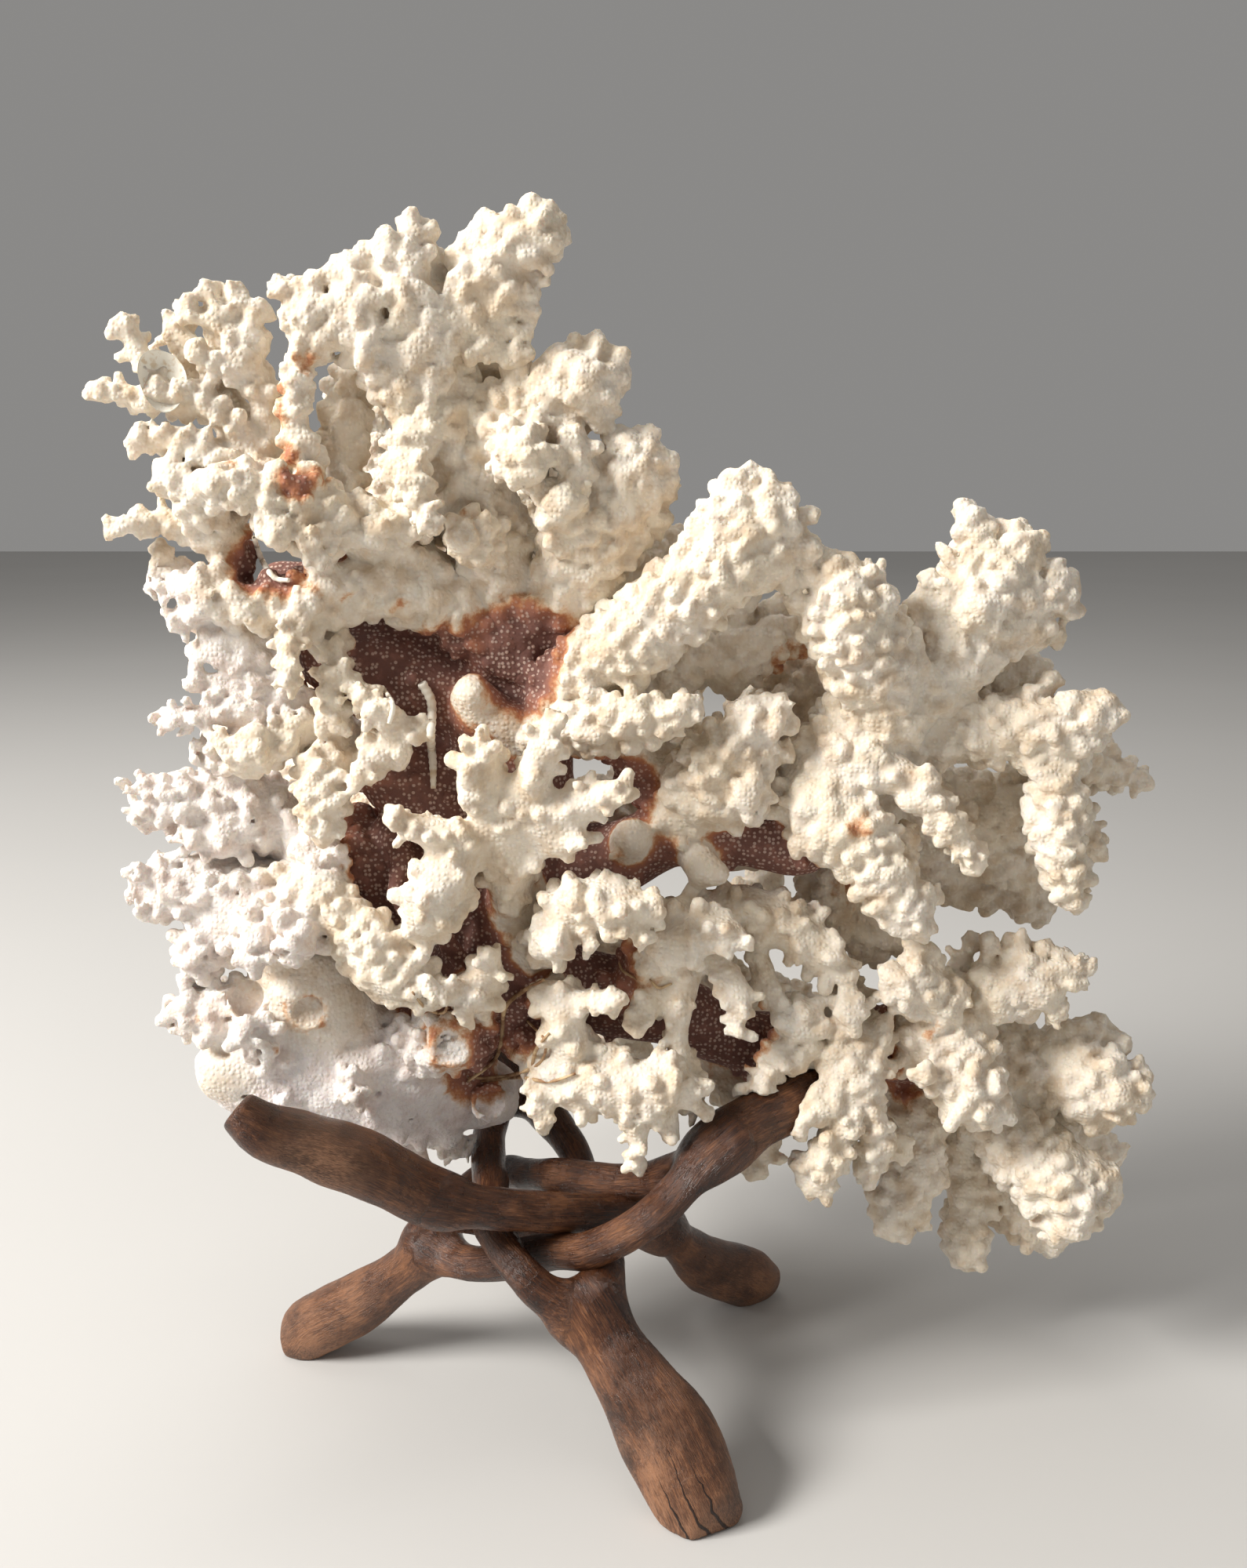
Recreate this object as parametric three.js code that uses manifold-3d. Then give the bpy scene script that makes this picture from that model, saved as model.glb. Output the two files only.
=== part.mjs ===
// A branching stony coral that rests on a stand of three interlocking carved wooden legs.
// Millimetres, +Z up, the front of the colony faces -Y.

import * as THREE from 'three';
import { mergeVertices } from 'three/addons/utils/BufferGeometryUtils.js';
import Module from 'manifold-3d';

const wasm = await Module();
wasm.setup();

// Driving dimensions.
const FOCUS_DISTANCE = 304;   // the focus point's distance in front of the colony's middle plane
const FOCUS_HEIGHT = 217;     // and its height above the surface that the stand is on
const CONTACT_GAP = 0.35;     // clearance kept between pieces that touch
const STOUT_RADIUS = 7;       // limbs from this radius up get a rounder section
const STOUT_SIDES = 5;
const LIMB_SIDES = 4;
const LEG_SIDES = 6;
const TIP_ROUND = 0.75;       // a tip's last ring, as a share of the radius given for it
const TIP_REACH = 0.8;        // how far a rounded tip runs on past its last point, in radii
const GROUND_BLOCK = 400;
const COLONY_CENTRE = new THREE.Vector3(7.736, 5.448, 0);   // middle of the whole object's box, seen from above

// Materials.
const cream = new THREE.MeshStandardMaterial({ color: 0xefe9dc, roughness: 0.75, metalness: 0 });
const chalk = new THREE.MeshStandardMaterial({ color: 0xf2f0ee, roughness: 0.9, metalness: 0 });
const stained = new THREE.MeshStandardMaterial({ color: 0x6b3a32, roughness: 0.7, metalness: 0 });
const wood = new THREE.MeshStandardMaterial({ color: 0x5a3422, roughness: 0.45, metalness: 0 });

// The coral's limbs. Each limb is a run of points, and each point is four numbers: across and up on the colony's
// middle plane, depth behind that plane (negative is in front of it), and the limb's radius there. A point is
// carried fore or aft along its line to the focus point, so that the front outline stays as laid out.
const TRUNK = [
  [[-52, 80, 14, 14], [-40, 92, 12, 14], [-28, 108, 8, 12], [-24, 124, 8, 11], [-22, 142, 10, 11], [-21, 160, 12, 10]],
  [[-34, 94, 6, 9], [-38, 88, -4, 7]],
];

const HOLDFAST = [
  [[-90, 80, -4, 8], [-78, 82, 0, 15], [-62, 80, 4, 17], [-46, 77, 8, 14], [-31, 73, 12, 7]],
  [[-58, 72, 6, 8], [-52, 64, 8, 5.5], [-48.5, 59, 8, 3]],
  [[-46, 68, 8, 6], [-38.5, 59, 8, 3.5]],
  [[-82, 90, -4, 9], [-93, 94, -8, 7.5], [-100, 93, -8, 5]],
  [[-80, 84, -6, 9], [-84, 89, -14, 6]],
  [[-66, 88, 0, 12], [-72, 102, -2, 12], [-76, 108, 0, 9]],
  [[-48, 84, 0, 8], [-41, 86, -8, 6.5]],
];

const LEFT_LOWER_FAN = [
  [[-58, 114, 6, 10], [-72, 119, 2, 9.5], [-86, 121, -4, 9], [-98, 121, -6, 6.5], [-106, 120, -8, 4]],
  [[-94, 122, -6, 6], [-107, 126, -10, 3]],
  [[-86, 118, -6, 8], [-95, 109, -8, 6], [-97, 103, -8, 4]],
  [[-80, 116, -6, 8], [-82, 110, -16, 6]],
  [[-76, 126, -6, 5], [-67, 119, -12, 6.5], [-61, 110, -16, 6.5], [-53, 109, -20, 5], [-46, 109, -20, 3.5]],
  [[-62, 106, -10, 6], [-52, 101, -16, 5.5], [-46, 102, -18, 3.5]],
];

const LEFT_MIDDLE_FAN = [
  [[-44, 130, 12, 9], [-58, 130, 8, 9], [-72, 136, 4, 8.5], [-85, 142, 0, 7.5], [-98, 142, -4, 5], [-106, 140, -6, 3]],
  [[-92, 143, -2, 5], [-108, 146, -8, 2.5]],
];

const LEFT_UPPER_FAN = [
  [[-26, 144, 12, 8], [-42, 150, 10, 9], [-58, 156, 6, 8], [-74, 161, 0, 7], [-87, 162, -6, 4.5], [-99, 161, -8, 2.5]],
  [[-62, 156, -2, 6], [-64, 149, -12, 4.5], [-63, 143, -16, 3.5]],
  [[-48, 154, 0, 6], [-53, 161, -8, 4], [-57, 151, -14, 3]],
  [[-54, 160, 4, 6], [-55, 173, -8, 4], [-58, 165, -14, 3]],
];

const UPPER_LEFT_BOUGH = [
  [[-24, 172, 10, 9], [-38, 186, 6, 9], [-52, 190, 0, 8], [-66, 187, -4, 7.5], [-78, 186, -6, 6.5], [-88, 189, -8, 5]],
  [[-80, 186, 0, 6], [-92, 187, -2, 4], [-97, 196, -4, 3]],
  [[-84, 190, -2, 5], [-83, 200, -2, 5.5], [-90, 208, -8, 5], [-93, 212, -10, 4.5]],
  [[-84, 200, -2, 5], [-97, 204, -6, 3.5], [-106, 202, -8, 2.5]],
];

const UPPER_LEFT_FORK = [
  [[-40, 192, 6, 8], [-54, 200, -2, 7.5], [-64, 206, -8, 7.5], [-75, 209, -12, 7], [-85, 211, -14, 5.5]],
  [[-78, 210, -6, 6], [-90, 220, -8, 4], [-99, 220, -8, 2.5]],
  [[-76, 212, -4, 6], [-84, 226, -4, 5], [-95, 229, -6, 4], [-101, 241, -6, 2.5]],
  [[-92, 228, -6, 4], [-107, 230, -8, 2.5]],
  [[-72, 212, 0, 5.5], [-75, 229, -2, 4.5], [-79, 240, -2, 4.5], [-88, 245, -4, 3]],
  [[-64, 208, -4, 6], [-68, 222, -6, 4.5], [-66, 236, -6, 4], [-63, 246, -6, 4.5]],
];

const CROWN = [
  [[-21, 162, 12, 10], [-22, 178, 12, 10], [-28, 196, 10, 10], [-34, 212, 8, 10], [-39, 228, 4, 9.5], [-40, 238, 2, 9]],
  [[-40, 238, 0, 8], [-33, 248, -2, 6.5], [-26, 255, -4, 6.5], [-18, 260, -6, 6.5]],
  [[-40, 240, 0, 8], [-43, 250, -4, 6], [-46, 256, -6, 4]],
  [[-44, 232, 0, 8], [-52, 238, -4, 6.5], [-53, 247, -6, 5]],
  [[-42, 222, 0, 8], [-46, 213, -10, 4.5], [-41, 204, -14, 3.5]],
];

const CROWN_RIGHT_BOUGH = [
  [[-32, 212, 8, 9], [-27, 222, 6, 9], [-18, 227, 4, 8.5], [-10, 231, 2, 7.5], [-5, 233, 0, 5]],
  [[-24, 220, 2, 7], [-20, 217, -8, 6.5]],
  [[-16, 224, 2, 6], [-10, 218, -4, 4.5], [-12, 208, -8, 3.5]],
];

const UPPER_RIGHT_BOUGH = [
  [[-20, 176, 12, 8], [-14, 187, 8, 9], [-8, 197, 6, 9.5], [-2, 206, 4, 9], [3, 215, 2, 6.5]],
  [[-8, 198, 4, 7], [-13, 206, -4, 5.5]],
  [[-6, 195, 8, 6], [2, 196, 17, 5], [10, 199, 20, 3]],
];

const MIDDLE_RIGHT_BOUGH = [
  [[-18, 162, 8, 8], [-9, 172, 0, 9], [3, 179, -4, 9.5], [14, 188, -6, 9.5], [23, 197, -8, 9.5], [29, 205, -10, 6.5]],
  [[24, 196, -6, 8], [35, 198, -8, 5.5]],
  [[-8, 171, 2, 7.5], [5, 171, 9, 7], [18, 174, 12, 6.5], [32, 178, 12, 6], [40, 183, 12, 4]],
];

const UNDERSIDE_BOUGH = [
  [[-18, 158, 2, 8], [-8, 161, -4, 7], [2, 161, -8, 6], [12, 163, -10, 4]],
  [[-8, 160, 0, 6.5], [3, 156, 9, 6.5], [7, 146, 10, 7]],
];

const RIGHT_STEM = [
  [[-20, 126, 10, 9], [-4, 129, 10, 8], [12, 136, 8, 7.5], [26, 136, 8, 7], [39, 134, 6, 8]],
  [[12, 138, 4, 7], [18, 147, 0, 9], [23, 155, -2, 8], [31, 160, -4, 5]],
];

const BACK_PLATE = [
  [[24, 132, 22, 7], [32, 146, 26, 8], [36, 160, 28, 9], [39, 174, 28, 7]],
];

const RIGHT_CROWN = [
  [[42, 138, 6, 9], [44, 147, 4, 11], [52, 157, 4, 11], [60, 166, 4, 10]],
  [[58, 164, 2, 9], [53, 174, -4, 10.5], [48, 184, -8, 9.5], [46, 190, -8, 6]],
  [[62, 167, 6, 10], [71, 178, 6, 11.5], [77, 188, 4, 11], [82, 196, 2, 7]],
  [[76, 188, 4, 8], [74, 201, 2, 4]],
  [[80, 184, 4, 8], [91, 189, 2, 5]],
  [[70, 170, 14, 6], [86, 172, 16, 4.5]],
];

const RIGHT_ARM = [
  [[58, 156, 8, 8], [70, 159, 6, 8.5], [82, 159, 4, 8.5], [94, 158, 0, 8], [103, 162, -2, 5]],
  [[94, 156, 0, 7.5], [95, 146, -2, 7], [95, 136, -4, 6.5], [98, 127, -6, 6], [100, 121, -6, 4]],
  [[92, 156, 5, 6.5], [98, 152, 13, 6], [106, 150, 16, 5], [112, 148, 16, 3]],
  [[95, 143, 2, 6], [99, 139, 10, 5], [104, 133, 12, 3.5]],
];

const RIGHT_LOWER_FINGERS = [
  [[42, 142, 0, 10], [50, 138, -4, 9.5], [56, 129, -6, 8.5], [60, 122, -8, 6.5], [66, 115, -10, 3.5]],
  [[54, 150, -2, 7], [64, 147, -6, 5.5], [71, 138, -8, 4.5], [77, 130, -8, 3.5]],
];

const RIGHT_BACK_BOUGH = [
  [[48, 142, 22, 8], [62, 143, 24, 9], [74, 140, 24, 9], [84, 130, 24, 8], [92, 120, 24, 5]],
  [[74, 138, 22, 8], [86, 143, 22, 8]],
  [[64, 138, 26, 7], [72, 128, 26, 7], [80, 122, 26, 5]],
  [[52, 141, 23, 7], [45, 131, 23, 6.5], [46, 118, 22, 7], [56, 112, 20, 6.5], [63, 113, 18, 4.5]],
];

const FRONT_FORK = [
  [[-25, 116, 0, 7], [-25, 126, -8, 7], [-26, 136, -14, 7], [-31, 147, -18, 7], [-31, 154, -20, 4.5]],
  [[-24, 138, -14, 6.5], [-19, 150, -20, 5.5], [-16, 159, -22, 3.5]],
  [[-20, 138, -16, 6.5], [-10, 142, -20, 5.5], [-1, 145, -24, 4]],
  [[-28, 134, -14, 6], [-38, 134, -18, 5], [-50, 138, -22, 3.5]],
  [[-34, 132, -12, 5], [-41, 124, -20, 7.5], [-45, 114, -18, 6]],
];

const STAR_FINGER = [
  [[-34, 92, 2, 7], [-32, 98, -10, 6.5], [-31, 104, -18, 5.5]],
  [[-33, 99, -14, 5.5], [-42, 98, -22, 3.5]],
];

const FRONT_MIDDLE_BOUGH = [
  [[-24, 108, 2, 7], [-16, 110, -8, 7], [-14, 118, -16, 6.5], [-5, 119, -20, 7], [4, 118, -22, 5]],
  [[-4, 117, -20, 6], [4, 112, -22, 4]],
];

const LOWER_STEM = [
  [[-34, 96, 10, 11], [-18, 101, 4, 9.5], [-4, 98, 6, 9], [10, 94, 8, 8], [24, 88, 10, 7.5], [38, 84, 10, 7]],
  [[34, 86, 10, 7], [50, 86, 12, 7], [64, 84, 14, 8]],
];

const KNOB_FINGERS = [
  [[-18, 98, -2, 6], [-14, 95, -12, 7], [-12, 87, -14, 6.5], [-12, 82, -12, 6]],
  [[-12, 95, -14, 5], [-3, 96, -20, 3]],
];

const FRONT_RIGHT_BOUGH = [
  [[0, 98, 2, 7], [6, 105, -6, 8.5], [14, 110, -12, 9.5], [23, 112, -14, 7], [27, 110, -16, 4.5]],
  [[8, 108, -6, 7], [12, 117, -8, 6]],
  [[8, 102, -4, 8], [5, 94, -12, 7]],
  [[14, 102, -8, 7], [12, 91, -12, 5.5], [14, 80, -14, 2.5]],
  [[20, 106, -8, 6], [26, 97, -12, 5.5], [26, 89, -14, 3.5]],
];

const MIDDLE_LOWER_BOUGH = [
  [[4, 108, 6, 7], [18, 117, 4, 8], [31, 116, 2, 8.5], [41, 111, 0, 8.5], [48, 105, -2, 6]],
  [[41, 111, 2, 6], [48, 104, 8, 5.5], [52, 98, 8, 5], [52, 91, 6, 4.5]],
  [[30, 108, 0, 5], [33, 99, -4, 4.5], [38, 91, -6, 3.5]],
];

const LOWER_FRONT_BOUGH = [
  [[-26, 94, 6, 7], [-19, 84, -4, 7], [-11, 77, -12, 8.5], [0, 76, -16, 8], [9, 75, -18, 6], [15, 74, -18, 4]],
  [[-18, 80, -8, 6], [-19, 70, -14, 4.5]],
  [[-1, 73, -16, 6], [3, 64, -18, 4], [3, 56, -18, 3]],
  [[6, 72, -16, 5.5], [10, 65, -16, 4]],
];

const LOWER_MIDDLE_FINGERS = [
  [[40, 84, 4, 7], [50, 84, -2, 9], [54, 79, -4, 9], [51, 70, -8, 6.5], [49, 62, -10, 6], [46, 52, -12, 4.5]],
  [[40, 86, 0, 7], [41, 92, -6, 5]],
  [[42, 84, -2, 6.5], [36, 82, -6, 5.5], [31, 73, -8, 3.5]],
  [[54, 74, -4, 6.5], [58, 64, -8, 5.5], [58, 56, -8, 3.5]],
];

const LOWER_BACK_FINGER = [
  [[20, 84, 18, 6], [25, 75, 14, 7], [29, 66, 10, 6], [31, 59, 8, 4.5]],
];

const RIGHT_FORK = [
  [[62, 84, 10, 8], [68, 87, 4, 9.5], [76, 87, 2, 9], [77, 79, -2, 8.5], [80, 72, -6, 8], [84, 70, -6, 6]],
  [[72, 90, 4, 8], [70, 98, 0, 7], [64, 100, -4, 5]],
  [[69, 98, 0, 5], [66, 106, -2, 3]],
  [[76, 90, 6, 8], [83, 98, 4, 8], [93, 101, 2, 7], [100, 102, 0, 4]],
];

const FAR_RIGHT_FAN = [
  [[72, 80, 18, 8], [86, 82, 18, 9], [98, 79, 14, 9.5], [108, 76, 8, 11], [113, 74, 4, 7]],
  [[102, 80, 12, 7], [109, 86, 10, 5]],
  [[84, 76, 18, 9], [95, 70, 14, 8]],
];

const LOWER_RIGHT_SPRAY = [
  [[76, 76, 16, 8], [85, 67, 12, 8], [94, 58, 4, 9.5], [102, 50, -2, 9.5], [105, 43, -4, 7]],
  [[100, 52, 0, 7], [111, 50, -2, 4]],
  [[90, 66, 14, 6], [103, 64, 18, 5], [113, 59, 18, 3.5]],
];

const DROP_BRANCHES = [
  [[64, 78, 18, 8], [68, 67, 12, 8.5], [69, 58, 8, 7.5], [66, 50, 4, 6], [65, 43, 2, 5]],
  [[72, 68, 20, 7], [79, 60, 18, 8], [83, 50, 16, 6.5], [82, 42, 12, 5.5], [82, 35, 10, 5]],
  [[84, 56, 20, 7], [91, 46, 18, 8], [99, 38, 14, 6.5]],
];

const BACK_UPPER_BOUGH = [
  [[-20, 160, 18, 8], [-26, 178, 30, 9], [-38, 196, 42, 9], [-50, 214, 50, 7], [-56, 228, 54, 4.5]],
  [[-30, 186, 36, 7], [-22, 204, 46, 7], [-20, 222, 52, 5]],
];

const BACK_LEFT_BOUGH = [
  [[-30, 126, 18, 9], [-46, 134, 32, 9], [-62, 140, 44, 8], [-78, 148, 52, 6], [-88, 156, 54, 4]],
  [[-54, 136, 40, 7], [-66, 122, 50, 7], [-78, 114, 54, 5]],
];

const BACK_RIGHT_BOUGH = [
  [[-14, 134, 20, 9], [2, 142, 34, 9], [20, 150, 48, 8], [38, 158, 58, 7], [54, 166, 62, 5]],
  [[12, 146, 42, 7], [10, 166, 54, 7], [14, 186, 60, 5]],
];

const BACK_LOWER_BOUGH = [
  [[-24, 104, 20, 9], [-8, 104, 34, 9], [10, 102, 46, 8], [28, 96, 56, 7], [46, 92, 62, 5]],
  [[-16, 104, 28, 7], [-26, 116, 44, 7], [-30, 128, 54, 5]],
  [[2, 102, 42, 6], [0, 88, 52, 5], [6, 78, 56, 3.5]],
];

// Pieces in the order in which they claim their space: a later one is cut back where it meets an earlier one.
const CORAL_PIECES = [
  ['trunk', TRUNK, stained],
  ['holdfast', HOLDFAST, chalk],
  ['lower_stem', LOWER_STEM, stained],
  ['right_stem', RIGHT_STEM, stained],
  ['crown', CROWN, cream],
  ['left_lower_fan', LEFT_LOWER_FAN, chalk],
  ['left_middle_fan', LEFT_MIDDLE_FAN, chalk],
  ['left_upper_fan', LEFT_UPPER_FAN, chalk],
  ['upper_left_bough', UPPER_LEFT_BOUGH, cream],
  ['upper_left_fork', UPPER_LEFT_FORK, cream],
  ['crown_right_bough', CROWN_RIGHT_BOUGH, cream],
  ['upper_right_bough', UPPER_RIGHT_BOUGH, cream],
  ['middle_right_bough', MIDDLE_RIGHT_BOUGH, cream],
  ['underside_bough', UNDERSIDE_BOUGH, cream],
  ['right_crown', RIGHT_CROWN, cream],
  ['right_arm', RIGHT_ARM, cream],
  ['right_lower_fingers', RIGHT_LOWER_FINGERS, cream],
  ['right_back_bough', RIGHT_BACK_BOUGH, cream],
  ['back_plate', BACK_PLATE, cream],
  ['front_fork', FRONT_FORK, cream],
  ['star_finger', STAR_FINGER, cream],
  ['front_middle_bough', FRONT_MIDDLE_BOUGH, cream],
  ['front_right_bough', FRONT_RIGHT_BOUGH, cream],
  ['middle_lower_bough', MIDDLE_LOWER_BOUGH, cream],
  ['knob_fingers', KNOB_FINGERS, cream],
  ['lower_front_bough', LOWER_FRONT_BOUGH, cream],
  ['lower_middle_fingers', LOWER_MIDDLE_FINGERS, cream],
  ['lower_back_finger', LOWER_BACK_FINGER, cream],
  ['right_fork', RIGHT_FORK, cream],
  ['far_right_fan', FAR_RIGHT_FAN, cream],
  ['lower_right_spray', LOWER_RIGHT_SPRAY, cream],
  ['drop_branches', DROP_BRANCHES, cream],
  ['back_upper_bough', BACK_UPPER_BOUGH, cream],
  ['back_left_bough', BACK_LEFT_BOUGH, cream],
  ['back_right_bough', BACK_RIGHT_BOUGH, cream],
  ['back_lower_bough', BACK_LOWER_BOUGH, cream],
];

// The stand. A leg's point is its true place (x, y, z), then its half width and its half thickness. Each leg is a
// foot and an arm joined by two strands, and its neighbours pass between the strands.
const FRONT_LEG = [
  [[17, -50, 2, 8, 6], [13.5, -46.5, 8, 9.8, 7], [9.5, -42, 14, 10.4, 7.2], [3, -36.5, 22, 8.6, 6.6], [-3, -31, 29, 7.5, 6],
    [-8, -27, 35, 8.5, 5.5]],
  [[-10, -27, 34, 6, 5], [-17, -28, 39, 4.2, 4], [-22, -26, 43, 3.8, 3.8], [-27, -20, 46, 3.8, 3.8],
    [-30, -12, 48, 3.8, 3.8], [-31, -4, 50, 3.8, 3.8], [-32, 6, 51.5, 3.8, 3.8], [-33, 18, 55, 4, 4], [-31, 30, 61, 4, 4]],
  [[-6, -26, 34, 6, 5], [-4, -21, 39, 4.4, 4], [-4, -10, 38, 4, 3.8], [-6, 2, 39, 4, 3.8], [-9, 11, 43, 4, 3.8],
    [-12, 17, 49, 4, 4], [-20, 26, 56, 4, 4], [-29, 32, 62, 4, 4]],
  [[-28, 30, 60, 7, 5], [-33, 38, 68, 8, 4.5], [-38, 44, 77, 7, 3.5]],
];

const LEFT_LEG = [
  [[-80, 10, 3, 6, 6], [-75, 9, 8, 7.5, 7], [-64, 7, 15, 7.5, 6.5], [-53, 4, 25, 5.5, 5], [-45, 2, 33, 6, 5]],
  [[-46, 2, 33, 5, 5], [-35, -8, 34, 3.8, 4.5], [-24, -14, 39, 3.8, 3.8], [-16, -18, 43, 3.8, 3.5],
    [-7, -22, 46, 4, 3.5], [4, -23, 53, 4, 3.8], [11, -20, 58, 4, 4], [17, -17, 64, 4.5, 4.5], [23, -14, 68, 5, 5]],
  [[-46, 3, 34, 5, 5], [-42, 13, 37, 4, 4], [-33, 21, 41, 4, 4], [-24, 14, 45, 4, 4], [-16, 6, 49, 4, 3.5],
    [-6, 2, 50, 4, 3.5], [4, -3, 52.5, 4, 3.8], [13, -9, 58, 4.5, 4.5], [22, -13, 67, 5, 5]],
  [[19, -14, 65, 5.5, 6], [28, -10, 70, 6, 6], [38, -5, 73, 6, 6], [47, 1, 75.5, 4.8, 4.5]],
];

const RIGHT_LEG = [
  [[35, 33, 3, 7, 5], [30, 28, 9, 8, 6.5], [22, 23, 15, 7.5, 6], [14, 16, 25, 5, 5], [9, 11, 33, 5, 5]],
  [[9, 12, 32, 5, 5], [6, 4, 38, 4, 4], [1, -4, 44.5, 3.8, 3.8], [-10, -12, 49.5, 3.8, 4.2], [-19, -18, 53, 3.8, 4.5],
    [-28, -23, 56.5, 4, 5], [-40, -26, 60, 5, 6]],
  [[9, 12, 32, 5, 5], [-8, 13, 33.5, 3.8, 3.8], [-18, 6, 37.5, 3.8, 3.8], [-28, -1, 40.5, 3.8, 3.8],
    [-37, -5, 45, 3.8, 3.8], [-44, -16, 53, 4, 4.5], [-47, -24, 61, 5, 5]],
  [[-40, -25, 60, 4.8, 6], [-47, -27, 65, 5, 7.5], [-55, -31, 72, 6, 8.5], [-64, -35, 78, 5.6, 8.5], [-72, -39, 83, 4.8, 7],
    [-77, -41, 88, 3.4, 4.5]],
];

const STAND_PIECES = [
  ['stand_leg_front', FRONT_LEG],
  ['stand_leg_left', LEFT_LEG],
  ['stand_leg_right', RIGHT_LEG],
];

// Carries a limb's point from the middle plane to its depth. The extra radius makes the slightly larger limb that
// cuts the clearance out of a neighbour.
function limbStop([across, up, depth, radius], extra) {
  const spread = (FOCUS_DISTANCE + depth) / FOCUS_DISTANCE;
  const centre = new THREE.Vector3(across * spread, depth, FOCUS_HEIGHT + (up - FOCUS_HEIGHT) * spread);
  const size = radius * spread + extra;
  return { centre, halfWidth: size, halfThickness: size };
}

function legStop([x, y, z, halfWidth, halfThickness], extra) {
  return { centre: new THREE.Vector3(x, y, z), halfWidth: halfWidth + extra, halfThickness: halfThickness + extra };
}

function directionAt(stops, index) {
  const before = stops[Math.max(index - 1, 0)].centre;
  const after = stops[Math.min(index + 1, stops.length - 1)].centre;
  return after.clone().sub(before).normalize();
}

// The world axis that a run of stops is furthest from following.
function steadyAxis(stops) {
  const run = stops.at(-1).centre.clone().sub(stops[0].centre);
  const axes = [new THREE.Vector3(1, 0, 0), new THREE.Vector3(0, 1, 0), new THREE.Vector3(0, 0, 1)];
  return axes.reduce((best, axis) => (Math.abs(axis.dot(run)) < Math.abs(best.dot(run)) ? axis : best));
}

// A closed tapering bar through the stops: a cylinder whose rings are moved onto them. Its end rings are drawn in
// and its end points pushed out, so the ends are round.
function taperedBar(stops, sides) {
  const last = stops.length - 1;
  const steady = steadyAxis(stops);
  const rings = stops.map((stop, index) => {
    const along = directionAt(stops, index);
    const wide = along.clone().cross(steady).normalize();
    const thick = wide.clone().cross(along).normalize();
    const share = index === last ? TIP_ROUND : 1;
    return { ...stop, along, wide: wide.multiplyScalar(share), thick: thick.multiplyScalar(share) };
  });
  const geometry = new THREE.CylinderGeometry(1, 1, 1, sides, last);
  const position = geometry.attributes.position;
  for (let i = 0; i < position.count; i += 1) {
    const index = Math.round((position.getY(i) + 0.5) * last);
    const ring = rings[index];
    const point = ring.centre.clone();
    point.addScaledVector(ring.wide, position.getX(i) * ring.halfWidth);
    point.addScaledVector(ring.thick, position.getZ(i) * ring.halfThickness);
    if (position.getX(i) === 0 && position.getZ(i) === 0) {
      point.addScaledVector(ring.along, (index === 0 ? -TIP_REACH : TIP_REACH) * ring.halfThickness);
    }
    position.setXYZ(i, point.x, point.y, point.z);
  }
  return geometry;
}

function toSolid(geometry) {
  geometry.deleteAttribute('normal');
  geometry.deleteAttribute('uv');
  const merged = mergeVertices(geometry, 1e-4);
  return new wasm.Manifold(new wasm.Mesh({
    numProp: 3,
    vertProperties: new Float32Array(merged.attributes.position.array),
    triVerts: new Uint32Array(merged.index.array),
  }));
}

function joinAll(solids) {
  return solids.reduce((whole, solid) => whole.add(solid));
}

// Every limb of a piece joined in one solid, with an extra radius all over.
function coralSolid(limbs, extra) {
  return joinAll(limbs.map((limb) => {
    const stout = Math.max(...limb.map((point) => point[3])) >= STOUT_RADIUS;
    const stops = limb.map((point) => limbStop(point, extra));
    return toSolid(taperedBar(stops, stout ? STOUT_SIDES : LIMB_SIDES));
  }));
}

function legSolid(bars, extra) {
  return joinAll(bars.map((bar) => toSolid(taperedBar(bar.map((point) => legStop(point, extra)), LEG_SIDES))));
}

// The block under the standing surface, which cuts the soles flat.
function groundSolid() {
  const block = new THREE.BoxGeometry(GROUND_BLOCK, GROUND_BLOCK, GROUND_BLOCK);
  block.translate(0, 0, -GROUND_BLOCK / 2);
  return toSolid(block);
}

// Where a cut leaves loose chips, only the main body stays.
function mainBody(solid) {
  return solid.decompose().reduce((best, body) => (body.volume() > best.volume() ? body : best));
}

function toMesh(solid, name, material) {
  const cut = solid.getMesh();
  const geometry = new THREE.BufferGeometry();
  geometry.setAttribute('position', new THREE.BufferAttribute(new Float32Array(cut.vertProperties), 3));
  geometry.setIndex(new THREE.BufferAttribute(new Uint32Array(cut.triVerts), 1));
  const mesh = new THREE.Mesh(geometry, material);
  mesh.name = name;
  return mesh;
}

function buildObject() {
  const object = new THREE.Group();
  const ground = groundSolid();
  let claimed = null;
  const place = (name, solid, swollen, material) => {
    const clear = claimed ? mainBody(solid.subtract(claimed)) : solid;
    claimed = claimed ? claimed.add(swollen) : swollen;
    object.add(toMesh(clear, name, material));
  };
  for (const [name, bars] of STAND_PIECES) {
    place(name, legSolid(bars, 0).subtract(ground), legSolid(bars, CONTACT_GAP), wood);
  }
  for (const [name, limbs, material] of CORAL_PIECES) {
    place(name, coralSolid(limbs, 0), coralSolid(limbs, CONTACT_GAP), material);
  }
  object.position.copy(COLONY_CENTRE).negate();
  return object;
}

export default buildObject();
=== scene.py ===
"""Branching stony coral that rests on a stand of three interlocking carved legs.

The colony is grown as a field of distances. Each limb is a tapering rod, the rods melt into one another,
small knobs are set over them, and a surface is then drawn round the whole. The stand's legs are made in the
same way.
"""

import logging
import math
from collections.abc import Iterable, Sequence
from dataclasses import dataclass, field
from enum import Enum, auto

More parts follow.
